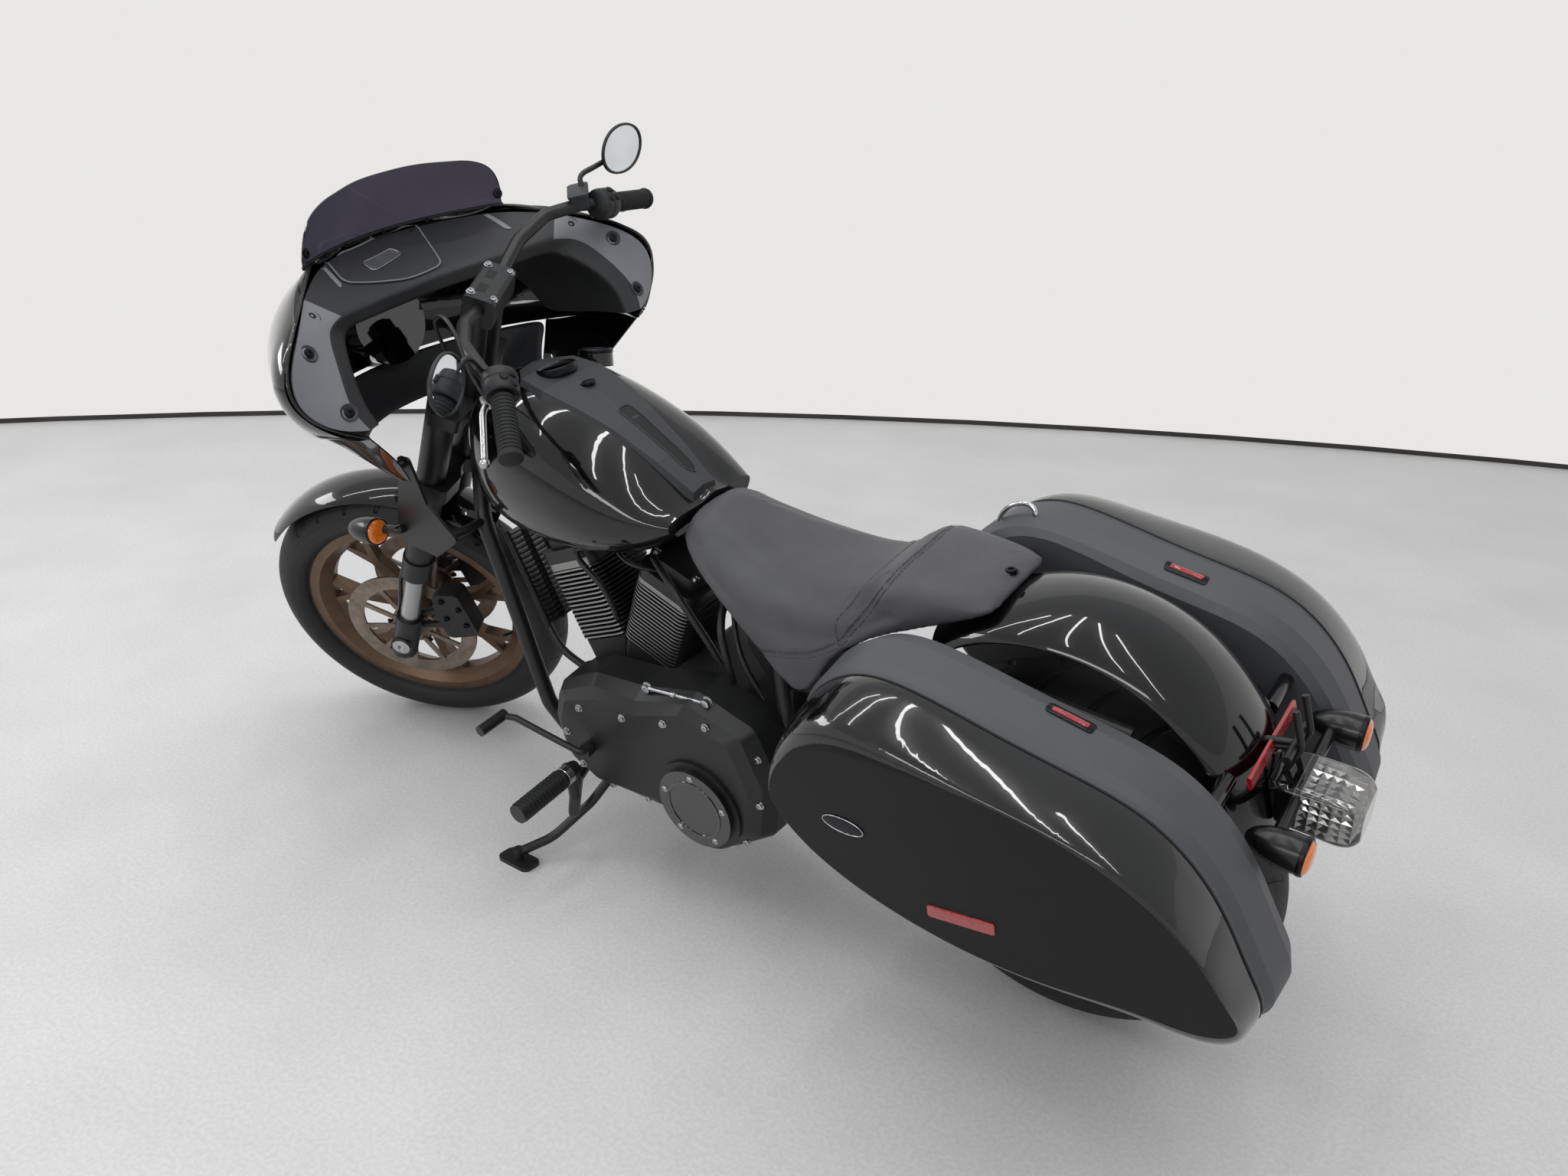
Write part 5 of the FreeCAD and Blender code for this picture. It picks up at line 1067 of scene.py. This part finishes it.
bag_centre = Vector((-20, 0, 570))
for side, word in ((1, "left"), (-1, "right")):
    shell_skin = skin("bag_shell_" + word)
    ring = []
    for k in range(160):
        a = 2 * math.pi * k / 160
        out = Vector((math.cos(a), 0, math.sin(a)))
        start = bag_centre + out * 700 + Vector((0, side * 294, 0))
        ring += laid(shell_skin, [start], -out, 0.4)
    ring = [p for p in ring if (p - bag_centre).length > 150]
    line_object("bag_gasket_" + word, [Vector((p.x, side * 299.6, p.z)) for p in ring], 1.8, rubber,
                "chassis", closed=True)

    lid_skin = skin("bag_lid_" + word)
    inward = Vector((0, -side, 0))
    shape = bmesh.new()
    strip = rounded([(68, side * 600, 471), (68, side * 600, 447), (-38, side * 600, 466),
                     (-38, side * 600, 490)], 5, 4)
    inlay(shape, lid_skin, strip, inward, 2.6, 1.5, 3)
    mesh_object("bag_reflector_" + word, shape, red, "bag_lid_" + word, parked)
    shape = bmesh.new()
    oval = [Vector((194 + 34 * math.cos(math.radians(t)), side * 600,
                    570 + 15 * math.sin(math.radians(t)))) for t in range(0, 360, 8)]
    inlay(shape, lid_skin, oval, inward, 1.6, 1.5, 4)
    mesh_object("bag_bare_oval_" + word, shape, black_zinc, "bag_lid_" + word, parked)
    oval_rim = laid(lid_skin, oval, inward, 1.4)
    line_object("bag_oval_rim_" + word, oval_rim, 0.9, zinc, "bag_lid_" + word, closed=True)

    shape = bmesh.new()
    latch = rounded([(-34, side * 226, 900), (-34, side * 204, 900), (-102, side * 206, 900),
                     (-102, side * 228, 900)], 7, 4)
    inlay(shape, shell_skin, latch, down, 3.0, 1.5, 3)
    mesh_object("bag_latch_" + word, shape, black_zinc, "chassis", parked)
    shape = bmesh.new()
    lens = rounded([(-42, side * 221, 900), (-42, side * 212, 900), (-94, side * 213, 900),
                    (-94, side * 222, 900)], 3, 4)
    inlay(shape, shell_skin, lens, down, 4.6, 1.0, 2)
    mesh_object("bag_latch_lens_" + word, shape, red, "chassis", parked)

right_skin = skin("bag_shell_right")
ring_foot = laid(right_skin, [(253, -214, 900), (188, -214, 900)], down)
if len(ring_foot) == 2:
    middle = (ring_foot[0] + ring_foot[1]) / 2
    half = (ring_foot[0] - ring_foot[1]).length / 2
    ahead = (ring_foot[0] - ring_foot[1]).normalized()
    grab = []
    for k in range(25):
        a = math.radians(-20 + 220 * k / 24)
        grab.append(middle + ahead * half * math.cos(a) + Vector((0, -0.25, 1)) * 24 * math.sin(a))
    line_object("bag_grab_ring", grab, 4.5, chrome, "chassis")


# Tail light, rear signals and reflector bar
# A wedge lens of smoked clear polycarbonate over a chromed reflector, black bullet signals with
# amber lenses behind, and a thin red bar on a black bracket.

# Clear smoked polycarbonate behind x = -322, black moulded housing ahead of it.
lens_smoke, shader = material("polycarbonate_clear_smoked", "b4b2af", 0.05)
clear_coat(shader, 0.02)
shader.inputs["IOR"].default_value = 1.12
mottle(lens_smoke, shader, "bab8b5", "a6a4a1", 16.0, (0.03, 0.08))
along = add(lens_smoke, "ShaderNodeSeparateXYZ", {},
            Vector=machine_axes(lens_smoke, parked, (0, 0, 0)))
body = add(lens_smoke, "ShaderNodeMapRange", {"From Min": -0.324, "From Max": -0.322},
           Value=along.outputs["X"])
painted_over(lens_smoke, shader, "0c0c0e", body.outputs["Result"])
clear = add(lens_smoke, "ShaderNodeMapRange", {"To Min": 0.95, "To Max": 0.0},
            Value=body.outputs["Result"])
wire(clear.outputs["Result"], shader.inputs["Transmission Weight"])

# Reflector inside: chromed pockets in rows, each drawn in to its middle.
# Lens sections are its place, half width, lowest and highest point.
lens_sections = [(-284, 44, 548, 600), (-330, 52, 536, 606), (-372, 52, 532, 604),
                 (-400, 48, 532, 598), (-412, 38, 540, 588)]
wall_gap = 6
shape = bmesh.new()
bowl_rows = []
for x in (-330, -344, -358, -372, -386, -400):
    half, low, high = (between([(section[0], section[k]) for section in lens_sections], x)
                       for k in (1, 2, 3))
    half, low, high = half - wall_gap, low + wall_gap, high - wall_gap
    edge = [Vector((x, half - half * k / 3, high)) for k in range(6)]
    edge += [Vector((x, -half, high + (low - high) * k / 5)) for k in range(5)]
    edge += [Vector((x, -half + half * k / 3, low)) for k in range(6)]
    edge += [Vector((x, half, low + (high - low) * k / 5)) for k in range(5)]
    bowl_rows.append(edge)
pockets = [(a[k], a[(k + 1) % 22], b[(k + 1) % 22], b[k]) for a, b in zip(bowl_rows, bowl_rows[1:])
           for k in range(22)]
last = bowl_rows[-1]
across = [last[k].y for k in range(7)]
levels = [last[6 + k].z for k in range(6)]
pockets += [tuple(Vector((-400, across[i + di], levels[j + dj]))
                  for di, dj in ((0, 0), (1, 0), (1, 1), (0, 1)))
            for i in range(6) for j in range(5)]
for corners in pockets:
    middle = sum(corners, Vector()) / 4
    drawn = shape.verts.new(middle + (Vector((-360, 0, 568)) - middle).normalized() * 3.5)
    ring = [shape.verts.new(p) for p in corners]
    for k in range(4):
        shape.faces.new((ring[k], ring[(k + 1) % 4], drawn))
mesh_object("tail_light_reflector", shape, chrome, "chassis", parked, 12)
dress(lens_smoke, "tail_light")
dress(powder, "plate_bracket")
dress(red, "tail_bar")

# Signal paint: gloss black.
signal_black, shader = material("signal_paint_gloss_black", "0b0b0d", 0.24)
mottle(signal_black, shader, "0e0e10", "080809", 40.0, (0.2, 0.3))
dress(signal_black, "rear_signals", "front_signals")
# Amber acrylic: saturated orange over moulded prisms.
amber, shader = material("amber_lens_acrylic", "f07a10", 0.1)
clear_coat(shader, 0.02)
shader.inputs["Subsurface Weight"].default_value = 0.3
shader.inputs["Subsurface Radius"].default_value = (0.01, 0.004, 0.001)
mottle(amber, shader, "f5841a", "e06c08", 12.0, (0.08, 0.14))
rib_place = add(amber, "ShaderNodeTexCoord")
rib = add(amber, "ShaderNodeTexVoronoi", {"Scale": 260.0}, Vector=rib_place.outputs["Object"])
rib_bump = add(amber, "ShaderNodeBump", {"Distance": 0.0009}, Height=rib.outputs["Distance"])
wire(rib_bump.outputs["Normal"], shader.inputs["Normal"])
for name, rear, front in (("rear", (-376, 149, 586), (-290, 146, 590)),
                          ("front", (1358, 238, 690), (1436, 244, 684))):
    lens_shape, bezel_shape, pod_shape = bmesh.new(), bmesh.new(), bmesh.new()
    for side in (-1, 1):
        base = Vector((rear[0], side * rear[1], rear[2]))
        along = Vector((front[0], side * front[1], front[2])) - base
        along.normalize()
        lathe(lens_shape, [(25.4, 9), (25.4, 7.4), (23.6, 4.2), (19.5, 1.2), (14, -0.5), (6, -0.9)],
              base, along, 40)
        lathe(bezel_shape, [(24.6, 6.2), (26.4, 5.4), (27.7, 7.4), (27.9, 10.5), (27.4, 13.5),
                            (25.0, 14.0)], base, along, 48)
        lathe(pod_shape, [(25.6, 8), (26.8, 12), (27.2, 24), (26.6, 36), (25.0, 48), (22.2, 60),
                          (18.0, 71), (12.4, 80), (6.2, 85.4), (1.6, 87)], base, along, 48)
    mesh_object(name + "_signal_lenses", lens_shape, amber, "chassis", parked)
    mesh_object(name + "_signal_bezels", bezel_shape, black_zinc, "chassis", parked)
    mesh_object(name + "_signal_pods", pod_shape, signal_black, "chassis", parked, 60)


# Fairing
# Moulded shell in gloss black lacquer with a beaded edge. The satin liner carries wing panels with
# recessed screws, and the dash deck has a pocket, a slot and two side panels.

dress(lacquer, "fairing_shell")
# Liner ABS: satin mid grey.
liner, shader = material("abs_satin_dark_grey", "77787c", 0.42)
mottle(liner, shader, "7c7d81", "727376", 1.4, (0.38, 0.5), 0.03)
# Deck ABS: matte near-black grain.
deck_black, shader = material("abs_textured_deck", "1f2022", 0.5)
mottle(deck_black, shader, "242527", "1b1c1e", 1.2, (0.46, 0.58), 0.04)
liner_stations = [
    [(1150, 388, 996), (1134, 343, 986), (1147, 316, 984), (1250, 318, 978), (1356, 290, 968)],
    [(1166, 428, 1032), (1152, 357, 1022), (1163, 322, 1020), (1262, 320, 1014), (1372, 286, 1004)],
    [(1176, 438, 1070), (1178, 342, 1064), (1192, 309, 1058), (1284, 306, 1048), (1388, 272, 1034)],
    [(1188, 422, 1110), (1210, 324, 1102), (1226, 288, 1090), (1312, 282, 1074), (1400, 252, 1058)],
    [(1226, 366, 1150), (1244, 304, 1134), (1262, 262, 1114), (1336, 252, 1096), (1414, 226, 1076)],
    [(1292, 300, 1178), (1262, 258, 1140), (1272, 232, 1116), (1350, 222, 1100), (1430, 196, 1082)],
    [(1352, 230, 1196), (1282, 196, 1138), (1286, 180, 1113), (1366, 172, 1100), (1446, 154, 1086)],
    [(1396, 172, 1197), (1298, 124, 1136), (1300, 116, 1111), (1382, 110, 1100), (1462, 98, 1088)],
    [(1430, 92, 1198), (1308, 56, 1134), (1310, 54, 1109), (1392, 52, 1100), (1472, 48, 1090)],
    [(1444, 0, 1199), (1312, 0, 1134), (1314, 0, 1109), (1396, 0, 1100), (1476, 0, 1090)]]
liner_stations += [[(x, -y, z) for x, y, z in station] for station in reversed(liner_stations[:-1])]
shape = bmesh.new()
made = [[shape.verts.new((x + 1.5, y, z)) for x, y, z in station] for station in liner_stations]
hard = shape.edges.layers.float.new("crease_edge")
for number, (a, b) in enumerate(zip(made, made[1:])):
    for k in range(4):
        panel = shape.faces.new((a[k], a[k + 1], b[k + 1], b[k]))
        panel.material_index = 0 if k == 0 and not 5 <= number < 13 else 1
for number, row in enumerate(made):
    for a, b in zip(row, row[1:]):
        edge = shape.edges.get((a, b))
        edge[hard] = 0.75 if number in (5, 13) else 0.0
for a, b in zip(made, made[1:]):
    for k, sharpness in ((0, 1.0), (1, 0.72), (2, 0.72), (4, 1.0)):
        shape.edges.get((a[k], b[k]))[hard] = sharpness
inner = mesh_object("fairing_liner", shape, liner, "chassis", parked, 50)
inner.data.materials.append(deck_black)
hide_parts("fairing_inner")
rounding = inner.modifiers.new("rounding", "SUBSURF")
rounding.levels = rounding.render_levels = 3
sheet_wall = inner.modifiers.new("sheet_wall", "SOLIDIFY")
sheet_wall.thickness = 0.003
sheet_wall.offset = 0.0
settle(inner)
inner.data.shade_smooth()
inner.data.set_sharp_from_angle(angle=math.radians(50))
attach(inner, "chassis")
dress(powder, "fairing_brackets")
# Trim line: bright silver foil.
trim, shader = material("trim_line_silver", "b9babb", 0.3, 1.0)
mottle(trim, shader, "c2c3c4", "a9aaab", 8.0, (0.24, 0.36))

rim_left = [(1146, 343, 968), (1160, 408, 1003), (1175, 445, 1058), (1186, 436, 1108),
            (1228, 374, 1156), (1292, 304, 1182), (1358, 236, 1202)]
for side, word in ((1, "left"), (-1, "right")):
    edge = [Vector((x, side * y, z)) for x, y, z in rim_left]
    line_object("fairing_rim_bead_" + word, [p + Vector((-1, 0, 1.5)) for p in edge], 3.0, lacquer,
                "chassis", kind="NURBS")

shape = bmesh.new()
shape.from_mesh(inner.data)
shape.transform(Matrix.Scale(1000, 4) @ parked.inverted())
liner_skin = BVHTree.FromBMesh(shape)
shape.free()
# Closing panel under the nose, from skirt to skirt ahead of the fork.
upper_edge = [(1386, 306, 946), (1425, 275, 942), (1480, 200, 940), (1522, 108, 938),
              (1535, 0, 938)]
lower_edge = [(1334, 222, 858), (1385, 205, 856), (1440, 150, 858), (1470, 85, 860),
              (1480, 0, 860)]
shape = bmesh.new()
made = []
for t in (0.0, 0.33, 0.67, 1.0):
    left = [Vector(a).lerp(Vector(b), t) + Vector((12 * math.sin(math.pi * t) - 6, 0, 0))
            for a, b in zip(upper_edge, lower_edge)]
    row = left + [Vector((q.x, -q.y, q.z)) for q in reversed(left[:-1])]
    made.append([shape.verts.new(q) for q in row])
for a, b in zip(made, made[1:]):
    for k in range(len(a) - 1):
        shape.faces.new((a[k], a[k + 1], b[k + 1], b[k]))
chin = mesh_object("fairing_closing_panel", shape, abs_black, "chassis", parked, 60)
rounding = chin.modifiers.new("rounding", "SUBSURF")
rounding.levels = rounding.render_levels = 2
sheet_wall = chin.modifiers.new("sheet_wall", "SOLIDIFY")
sheet_wall.thickness = 0.003
sheet_wall.offset = 0.0

screw_shape, recess_shape = bmesh.new(), bmesh.new()
for y in (1, -1):
    for x, across, z in ((1288, 322, 1130), (1153, 362, 1022), (1210, 370, 1118)):
        spot, normal, _, _ = liner_skin.find_nearest(Vector((x, y * across, z)))
        if normal.x > 0:
            normal = -normal
        lathe(recess_shape, [(15, -1), (15.6, 0.9), (14.2, 1.7), (12.4, 1.2), (11.0, 0.4)], spot,
              normal, 32)
        bolt(screw_shape, spot + normal * 0.6, normal, 6.6, 3.2)
mesh_object("wing_screw_seats", recess_shape, abs_black, "chassis", parked)
mesh_object("wing_screws", screw_shape, black_zinc, "chassis", parked)

# Deck pocket with its slot, seen from above: grey gloss in the slot, a bright edge line round.
slot_grey, shader = material("slot_trim_gloss_grey", "4d4e52", 0.18)
shader.inputs["Coat Weight"].default_value = 1.0
mottle(slot_grey, shader, "55565a", "44454a", 30.0, (0.14, 0.22))
shape = bmesh.new()
pocket = rounded([(1404, 172, 1400), (1452, -20, 1400), (1440, -70, 1400), (1330, -28, 1400),
                  (1322, 60, 1400), (1334, 190, 1400)], 18)
inlay(shape, liner_skin, pocket, down, 1.6, 1.0, 6)
mesh_object("deck_pocket", shape, deck_black, "chassis", parked)
pocket_edge = laid(liner_skin, pocket, down, 2.4)
line_object("deck_pocket_edge", pocket_edge, 1.8, liner, "chassis", closed=True)
shape = bmesh.new()
slot = rounded([(1382, 112, 1400), (1404, 26, 1400), (1384, 18, 1400), (1356, 108, 1400)], 9)
inlay(shape, liner_skin, slot, down, 3.0, 1.0, 4)
mesh_object("deck_slot", shape, slot_grey, "chassis", parked)
slot_edge = laid(liner_skin, slot, down, 3.2)
line_object("deck_slot_edge", slot_edge, 1.0, trim, "chassis", closed=True)
shape = bmesh.new()
for side in (-1, 1):
    side_panel = rounded([(1320, side * 208, 1400), (1392, side * 196, 1400),
                          (1404, side * 186, 1400), (1330, side * 196, 1400)], 8)
    inlay(shape, liner_skin, side_panel, down, 2.2, 1.0, 3)
mesh_object("deck_side_panels", shape, liner, "chassis", parked)


# Windshield
# Smoked polycarbonate on a rubber foot, with button-head screws through a dark strip.

# Smoked polycarbonate: see-through violet grey.
smoke, shader = material("polycarbonate_smoked", "4c4955", 0.03)
shader.inputs["Transmission Weight"].default_value = 0.92
shader.inputs["IOR"].default_value = 1.45
mottle(smoke, shader, "504d59", "484551", 120.0, (0.02, 0.05))
dress(smoke, "windshield")
screen_base = [(1369, 236), (1374, 233), (1384, 224), (1398, 205), (1424, 157), (1444, 100),
               (1455, 50), (1458, 0)]
foot_line = [(x - 1, y, 1206.5) for x, y in screen_base]
foot_line += [(x, -y, z) for x, y, z in reversed(foot_line[:-1])]
line_object("windshield_foot", foot_line, 4.2, rubber, "chassis", kind="NURBS")
shape = bmesh.new()
for y in (-226, 226):
    bolt(shape, (1367, y, 1231), (-0.9, -0.4 * y / 226, 0.1), 7.4, 4.0)
for x, y in ((1394, 203), (1422, 153), (1443, 97), (1455, 0), (1443, -97), (1422, -153),
             (1394, -203)):
    bolt(shape, (x - 6, y, 1205), (-0.6, -0.2 * y / 203, 0.7), 3.6, 2.6)
mesh_object("windshield_screws", shape, black_zinc, "chassis", parked)


# Headlamp
# A sealed lamp with a clear dome, in a black bezel set into the nose.

# Headlamp: a milky bright lens where it faces ahead, a black body elsewhere.
lamp_glass, shader = material("headlamp_polycarbonate_clear", "dfe3e6", 0.03)
shader.inputs["Transmission Weight"].default_value = 0.25
shader.inputs["IOR"].default_value = 1.5
shader.inputs["Coat Weight"].default_value = 1.0
mottle(lamp_glass, shader, "e6eaec", "c9ced2", 26.0, (0.02, 0.06))
along = Vector((300, 0, -32)).normalized()
base = Vector((1400, 0, 1030)) + along * 176
place = add(lamp_glass, "ShaderNodeTexCoord")
lamp_facing = (parked.to_3x3() @ along).normalized()
ahead = add(lamp_glass, "ShaderNodeVectorMath", {"operation": "DOT_PRODUCT", 1: lamp_facing},
            _0=place.outputs["Normal"])
front = add(lamp_glass, "ShaderNodeMapRange", {"From Min": 0.3, "From Max": 0.4},
            Value=ahead.outputs["Value"])
tone = add(lamp_glass, "ShaderNodeMix", {"data_type": "RGBA", 6: linear("0d0d0f")},
           _0=front.outputs["Result"])
wire(shader.inputs["Base Color"].links[0].from_socket, tone.inputs[7])
wire(tone.outputs[2], shader.inputs["Base Color"])
clear = add(lamp_glass, "ShaderNodeMath", {"operation": "MULTIPLY", 1: 0.25},
            _0=front.outputs["Result"])
wire(clear.outputs["Value"], shader.inputs["Transmission Weight"])
dress(lamp_glass, "headlamp")
shape = bmesh.new()
lathe(shape, [(82.2, -34), (88, -20), (90, -6), (88, 0), (83, 3), (78, 1.5)], base, along, 72)
mesh_object("headlamp_bezel", shape, black_zinc, "chassis", parked)


# Handlebar, risers and grips
# Tapered steel bar in satin black, held by a boxed clamp with four plated bolts; rubber grips
# with rings moulded round them.

dress(powder, "handlebar", "bar_controls")
dress(cast_black, "handlebar_risers")
dress(rubber, "grips")
shape = bmesh.new()
bar_seat = Vector((1176, 0, 1118))
up = steering_axis
lengthways = Vector((up.z, 0, -up.x))
for f in (-21, 21):
    for y in (-48, 48):
        bolt(shape, bar_seat + up * 23.4 + lengthways * f + Vector((0, y, 0)), up, 6.0, 5.5)
mesh_object("riser_bolts", shape, zinc, "steering", steered)
# Windows in the clamp's top: flat panels painted dark as the shade inside them.
shape = bmesh.new()
for y in (-24, 24):
    low = bar_seat + up * 23.6 + Vector((0, y, 0))
    inset = [low + up * 0.5 + lengthways * f + Vector((0, s, 0))
             for f, s in ((-15, -13), (15, -13), (15, 13), (-15, 13))]
    shape.faces.new([shape.verts.new(p) for p in inset])
mesh_object("riser_windows", shape, abs_dark_and_hollow_shade, "steering", steered)

bar_end = Vector((999, 440, 1070))
bar_inner = Vector((1036, 331, 1117))
shape, button_shape, cap_shape, ring_shape = bmesh.new(), bmesh.new(), bmesh.new(), bmesh.new()
for side in (-1, 1):
    end = Vector((bar_end.x, side * bar_end.y, bar_end.z))
    inner = Vector((bar_inner.x, side * bar_inner.y, bar_inner.z))
    along = (end - inner).normalized()
    for k in range(15):
        at = end - along * (108 - 7 * k)
        lathe(ring_shape, [(18.0, -2.2), (19.3, -1.4), (19.3, 1.4), (18.0, 2.2)], at, along, 32)
    lathe(cap_shape, [(18.0, -3), (20.5, -2), (21, 1), (20, 5), (16, 7), (6, 8)], end, along, 32)
    near = end - along * 115
    lathe(shape, [(25.2, -46), (28.5, -44), (30, -38), (30, -28), (28.6, -26), (28.6, -24),
                  (30, -22), (30, -8), (28, -3), (25.2, -1)], near, along, 36)
    back = (Vector((-1, 0, 0.25)) - along * Vector((-1, 0, 0.25)).dot(along)).normalized()
    above = along.cross(back) * (1 if along.cross(back).z > 0 else -1)
    for offset, turn in ((-12, 0.15), (-30, 0.15), (-21, 0.75)):
        push = (back * math.cos(turn) + above * math.sin(turn)).normalized()
        lathe(button_shape, [(7.2, 24), (7.2, 31.2), (6.4, 33), (4.0, 33.4)], near + along * offset,
              push, 20)
mesh_object("grip_rings", ring_shape, rubber, "steering", steered)
mesh_object("switch_housings", shape, cast_black, "steering", steered)
mesh_object("grip_end_caps", cap_shape, rubber, "steering", steered)
mesh_object("switch_buttons", button_shape, abs_dark_and_hollow_shade, "steering", steered)


# Levers and master cylinder
# Die-cast aluminium levers, polished; the right perch carries a rectangular fluid box.

# Polished aluminium: soft white metal.
lever_metal, shader = material("aluminium_polished", "bcbcba", 0.26, 1.0)
mottle(lever_metal, shader, "c0c0be", "b6b6b3", 50.0, (0.26, 0.3))
dress(lever_metal, "hand_levers")
shape = bmesh.new()
box_place = Vector((1078, -300, 1152))
wide, deep = Vector((0.3, -0.95, 0)).normalized(), Vector((0.95, 0.3, 0)).normalized()
tall = Vector((0, 0, 1))
rows = []
for lift, w, d in ((-18, 24, 15), (-16, 27, 18), (6, 28, 19), (7, 30, 21), (12, 30, 21),
                   (14, 27, 18)):
    rows.append(rounded([box_place + wide * a * w + deep * b * d + tall * lift
                         for a, b in ((-1, -1), (1, -1), (1, 1), (-1, 1))], 7, 4))
count = min(len(row) for row in rows)
made = []
for row in rows:
    made.append([shape.verts.new(row[int(k * len(row) / count)]) for k in range(count)])
for low, high in zip(made, made[1:]):
    for k in range(count):
        n = (k + 1) % count
        shape.faces.new((low[k], low[n], high[n], high[k]))
shape.faces.new(list(reversed(made[0])))
shape.faces.new(made[-1])
mesh_object("brake_fluid_box", shape, abs_black, "steering", steered)


# Mirrors
# Oval heads in satin black with bright glass behind a rim.

# Silvered glass: a clear mirror.
mirror_glass, shader = material("mirror_glass_silvered", "dfe2e4", 0.03, 1.0)
mottle(mirror_glass, shader, "e4e7e9", "d6dadd", 60.0, (0.01, 0.04))
head_shape, glass_shape = bmesh.new(), bmesh.new()
for side, centre, turn, wide, tall in ((1, (1085, 395, 1180), 0.0, 62, 46),
                                       (-1, (1005, -400, 1196), -27.0, 58, 46)):
    aim = Matrix.Translation(centre) @ Matrix.Rotation(math.radians(turn), 4, "Z")
    rings = []
    for depth, k in ((-2.6, 0.9), (-4.4, 0.905), (-5.2, 0.94), (-4.4, 0.985), (0, 1.0), (5, 0.9),
                     (9, 0.68), (11, 0.4), (11.6, 0.12)):
        ring = []
        for t in range(0, 360, 6):
            a = math.radians(t)
            egg = 1 + 0.07 * math.sin(a) * math.cos(a) * side
            ring.append(head_shape.verts.new(aim @ Vector((depth, wide * k * egg * math.cos(a),
                                                           tall * k * math.sin(a)))))
        rings.append(ring)
    for low, high in zip(rings, rings[1:]):
        for k in range(60):
            n = (k + 1) % 60
            head_shape.faces.new((low[k], low[n], high[n], high[k]))
    head_shape.faces.new(list(reversed(rings[-1])))
    glass_ring = [glass_shape.verts.new(vert.co + aim.to_3x3() @ Vector((0.2, 0, 0)))
                  for vert in rings[0]]
    glass_shape.faces.new(glass_ring)
    foot = Vector((1070, side * 299, 1134))
    back = aim @ Vector((9, 0, -8))
    line_object("mirror_stalk_left" if side > 0 else "mirror_stalk_right",
                [foot, foot + Vector((2, side * 12, 30)), foot + Vector((6, side * 24, 50)),
                 (foot + back) / 2 + Vector((6, side * 8, 22)), back], 5.2, powder,
                "steering", steered, "NURBS")
heads = mesh_object("mirror_heads", head_shape, powder, "steering", steered)
mesh_object("mirror_glass", glass_shape, mirror_glass, "steering", steered)
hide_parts("mirrors")


# Foot controls and stand
# Ribbed rubber pegs with a chromed ferrule, a forged shifter, a brake pedal and a bent steel side
# stand, all carried by the frame.

dress(powder, "foot_pegs", "side_stand", "shift_lever", "brake_pedal")
rib_shape, ferrule_shape = bmesh.new(), bmesh.new()
for side in (-1, 1):
    inner_end = Vector((900, side * 279, 302.1))
    outward = Vector((-4, side * 138, 2)).normalized()
    for k in range(13):
        lathe(rib_shape, [(17.0, -2.6), (20.4, -1.8), (20.4, 1.8), (17.0, 2.6)],
              inner_end + outward * (22 + 8.6 * k), outward, 32)
    lathe(ferrule_shape, [(17.2, -3), (19.6, -2), (19.6, 12), (17.6, 14)], inner_end, outward, 32)
mesh_object("peg_ribs", rib_shape, rubber, "chassis", parked)
mesh_object("peg_ferrules", ferrule_shape, chrome, "chassis", parked)
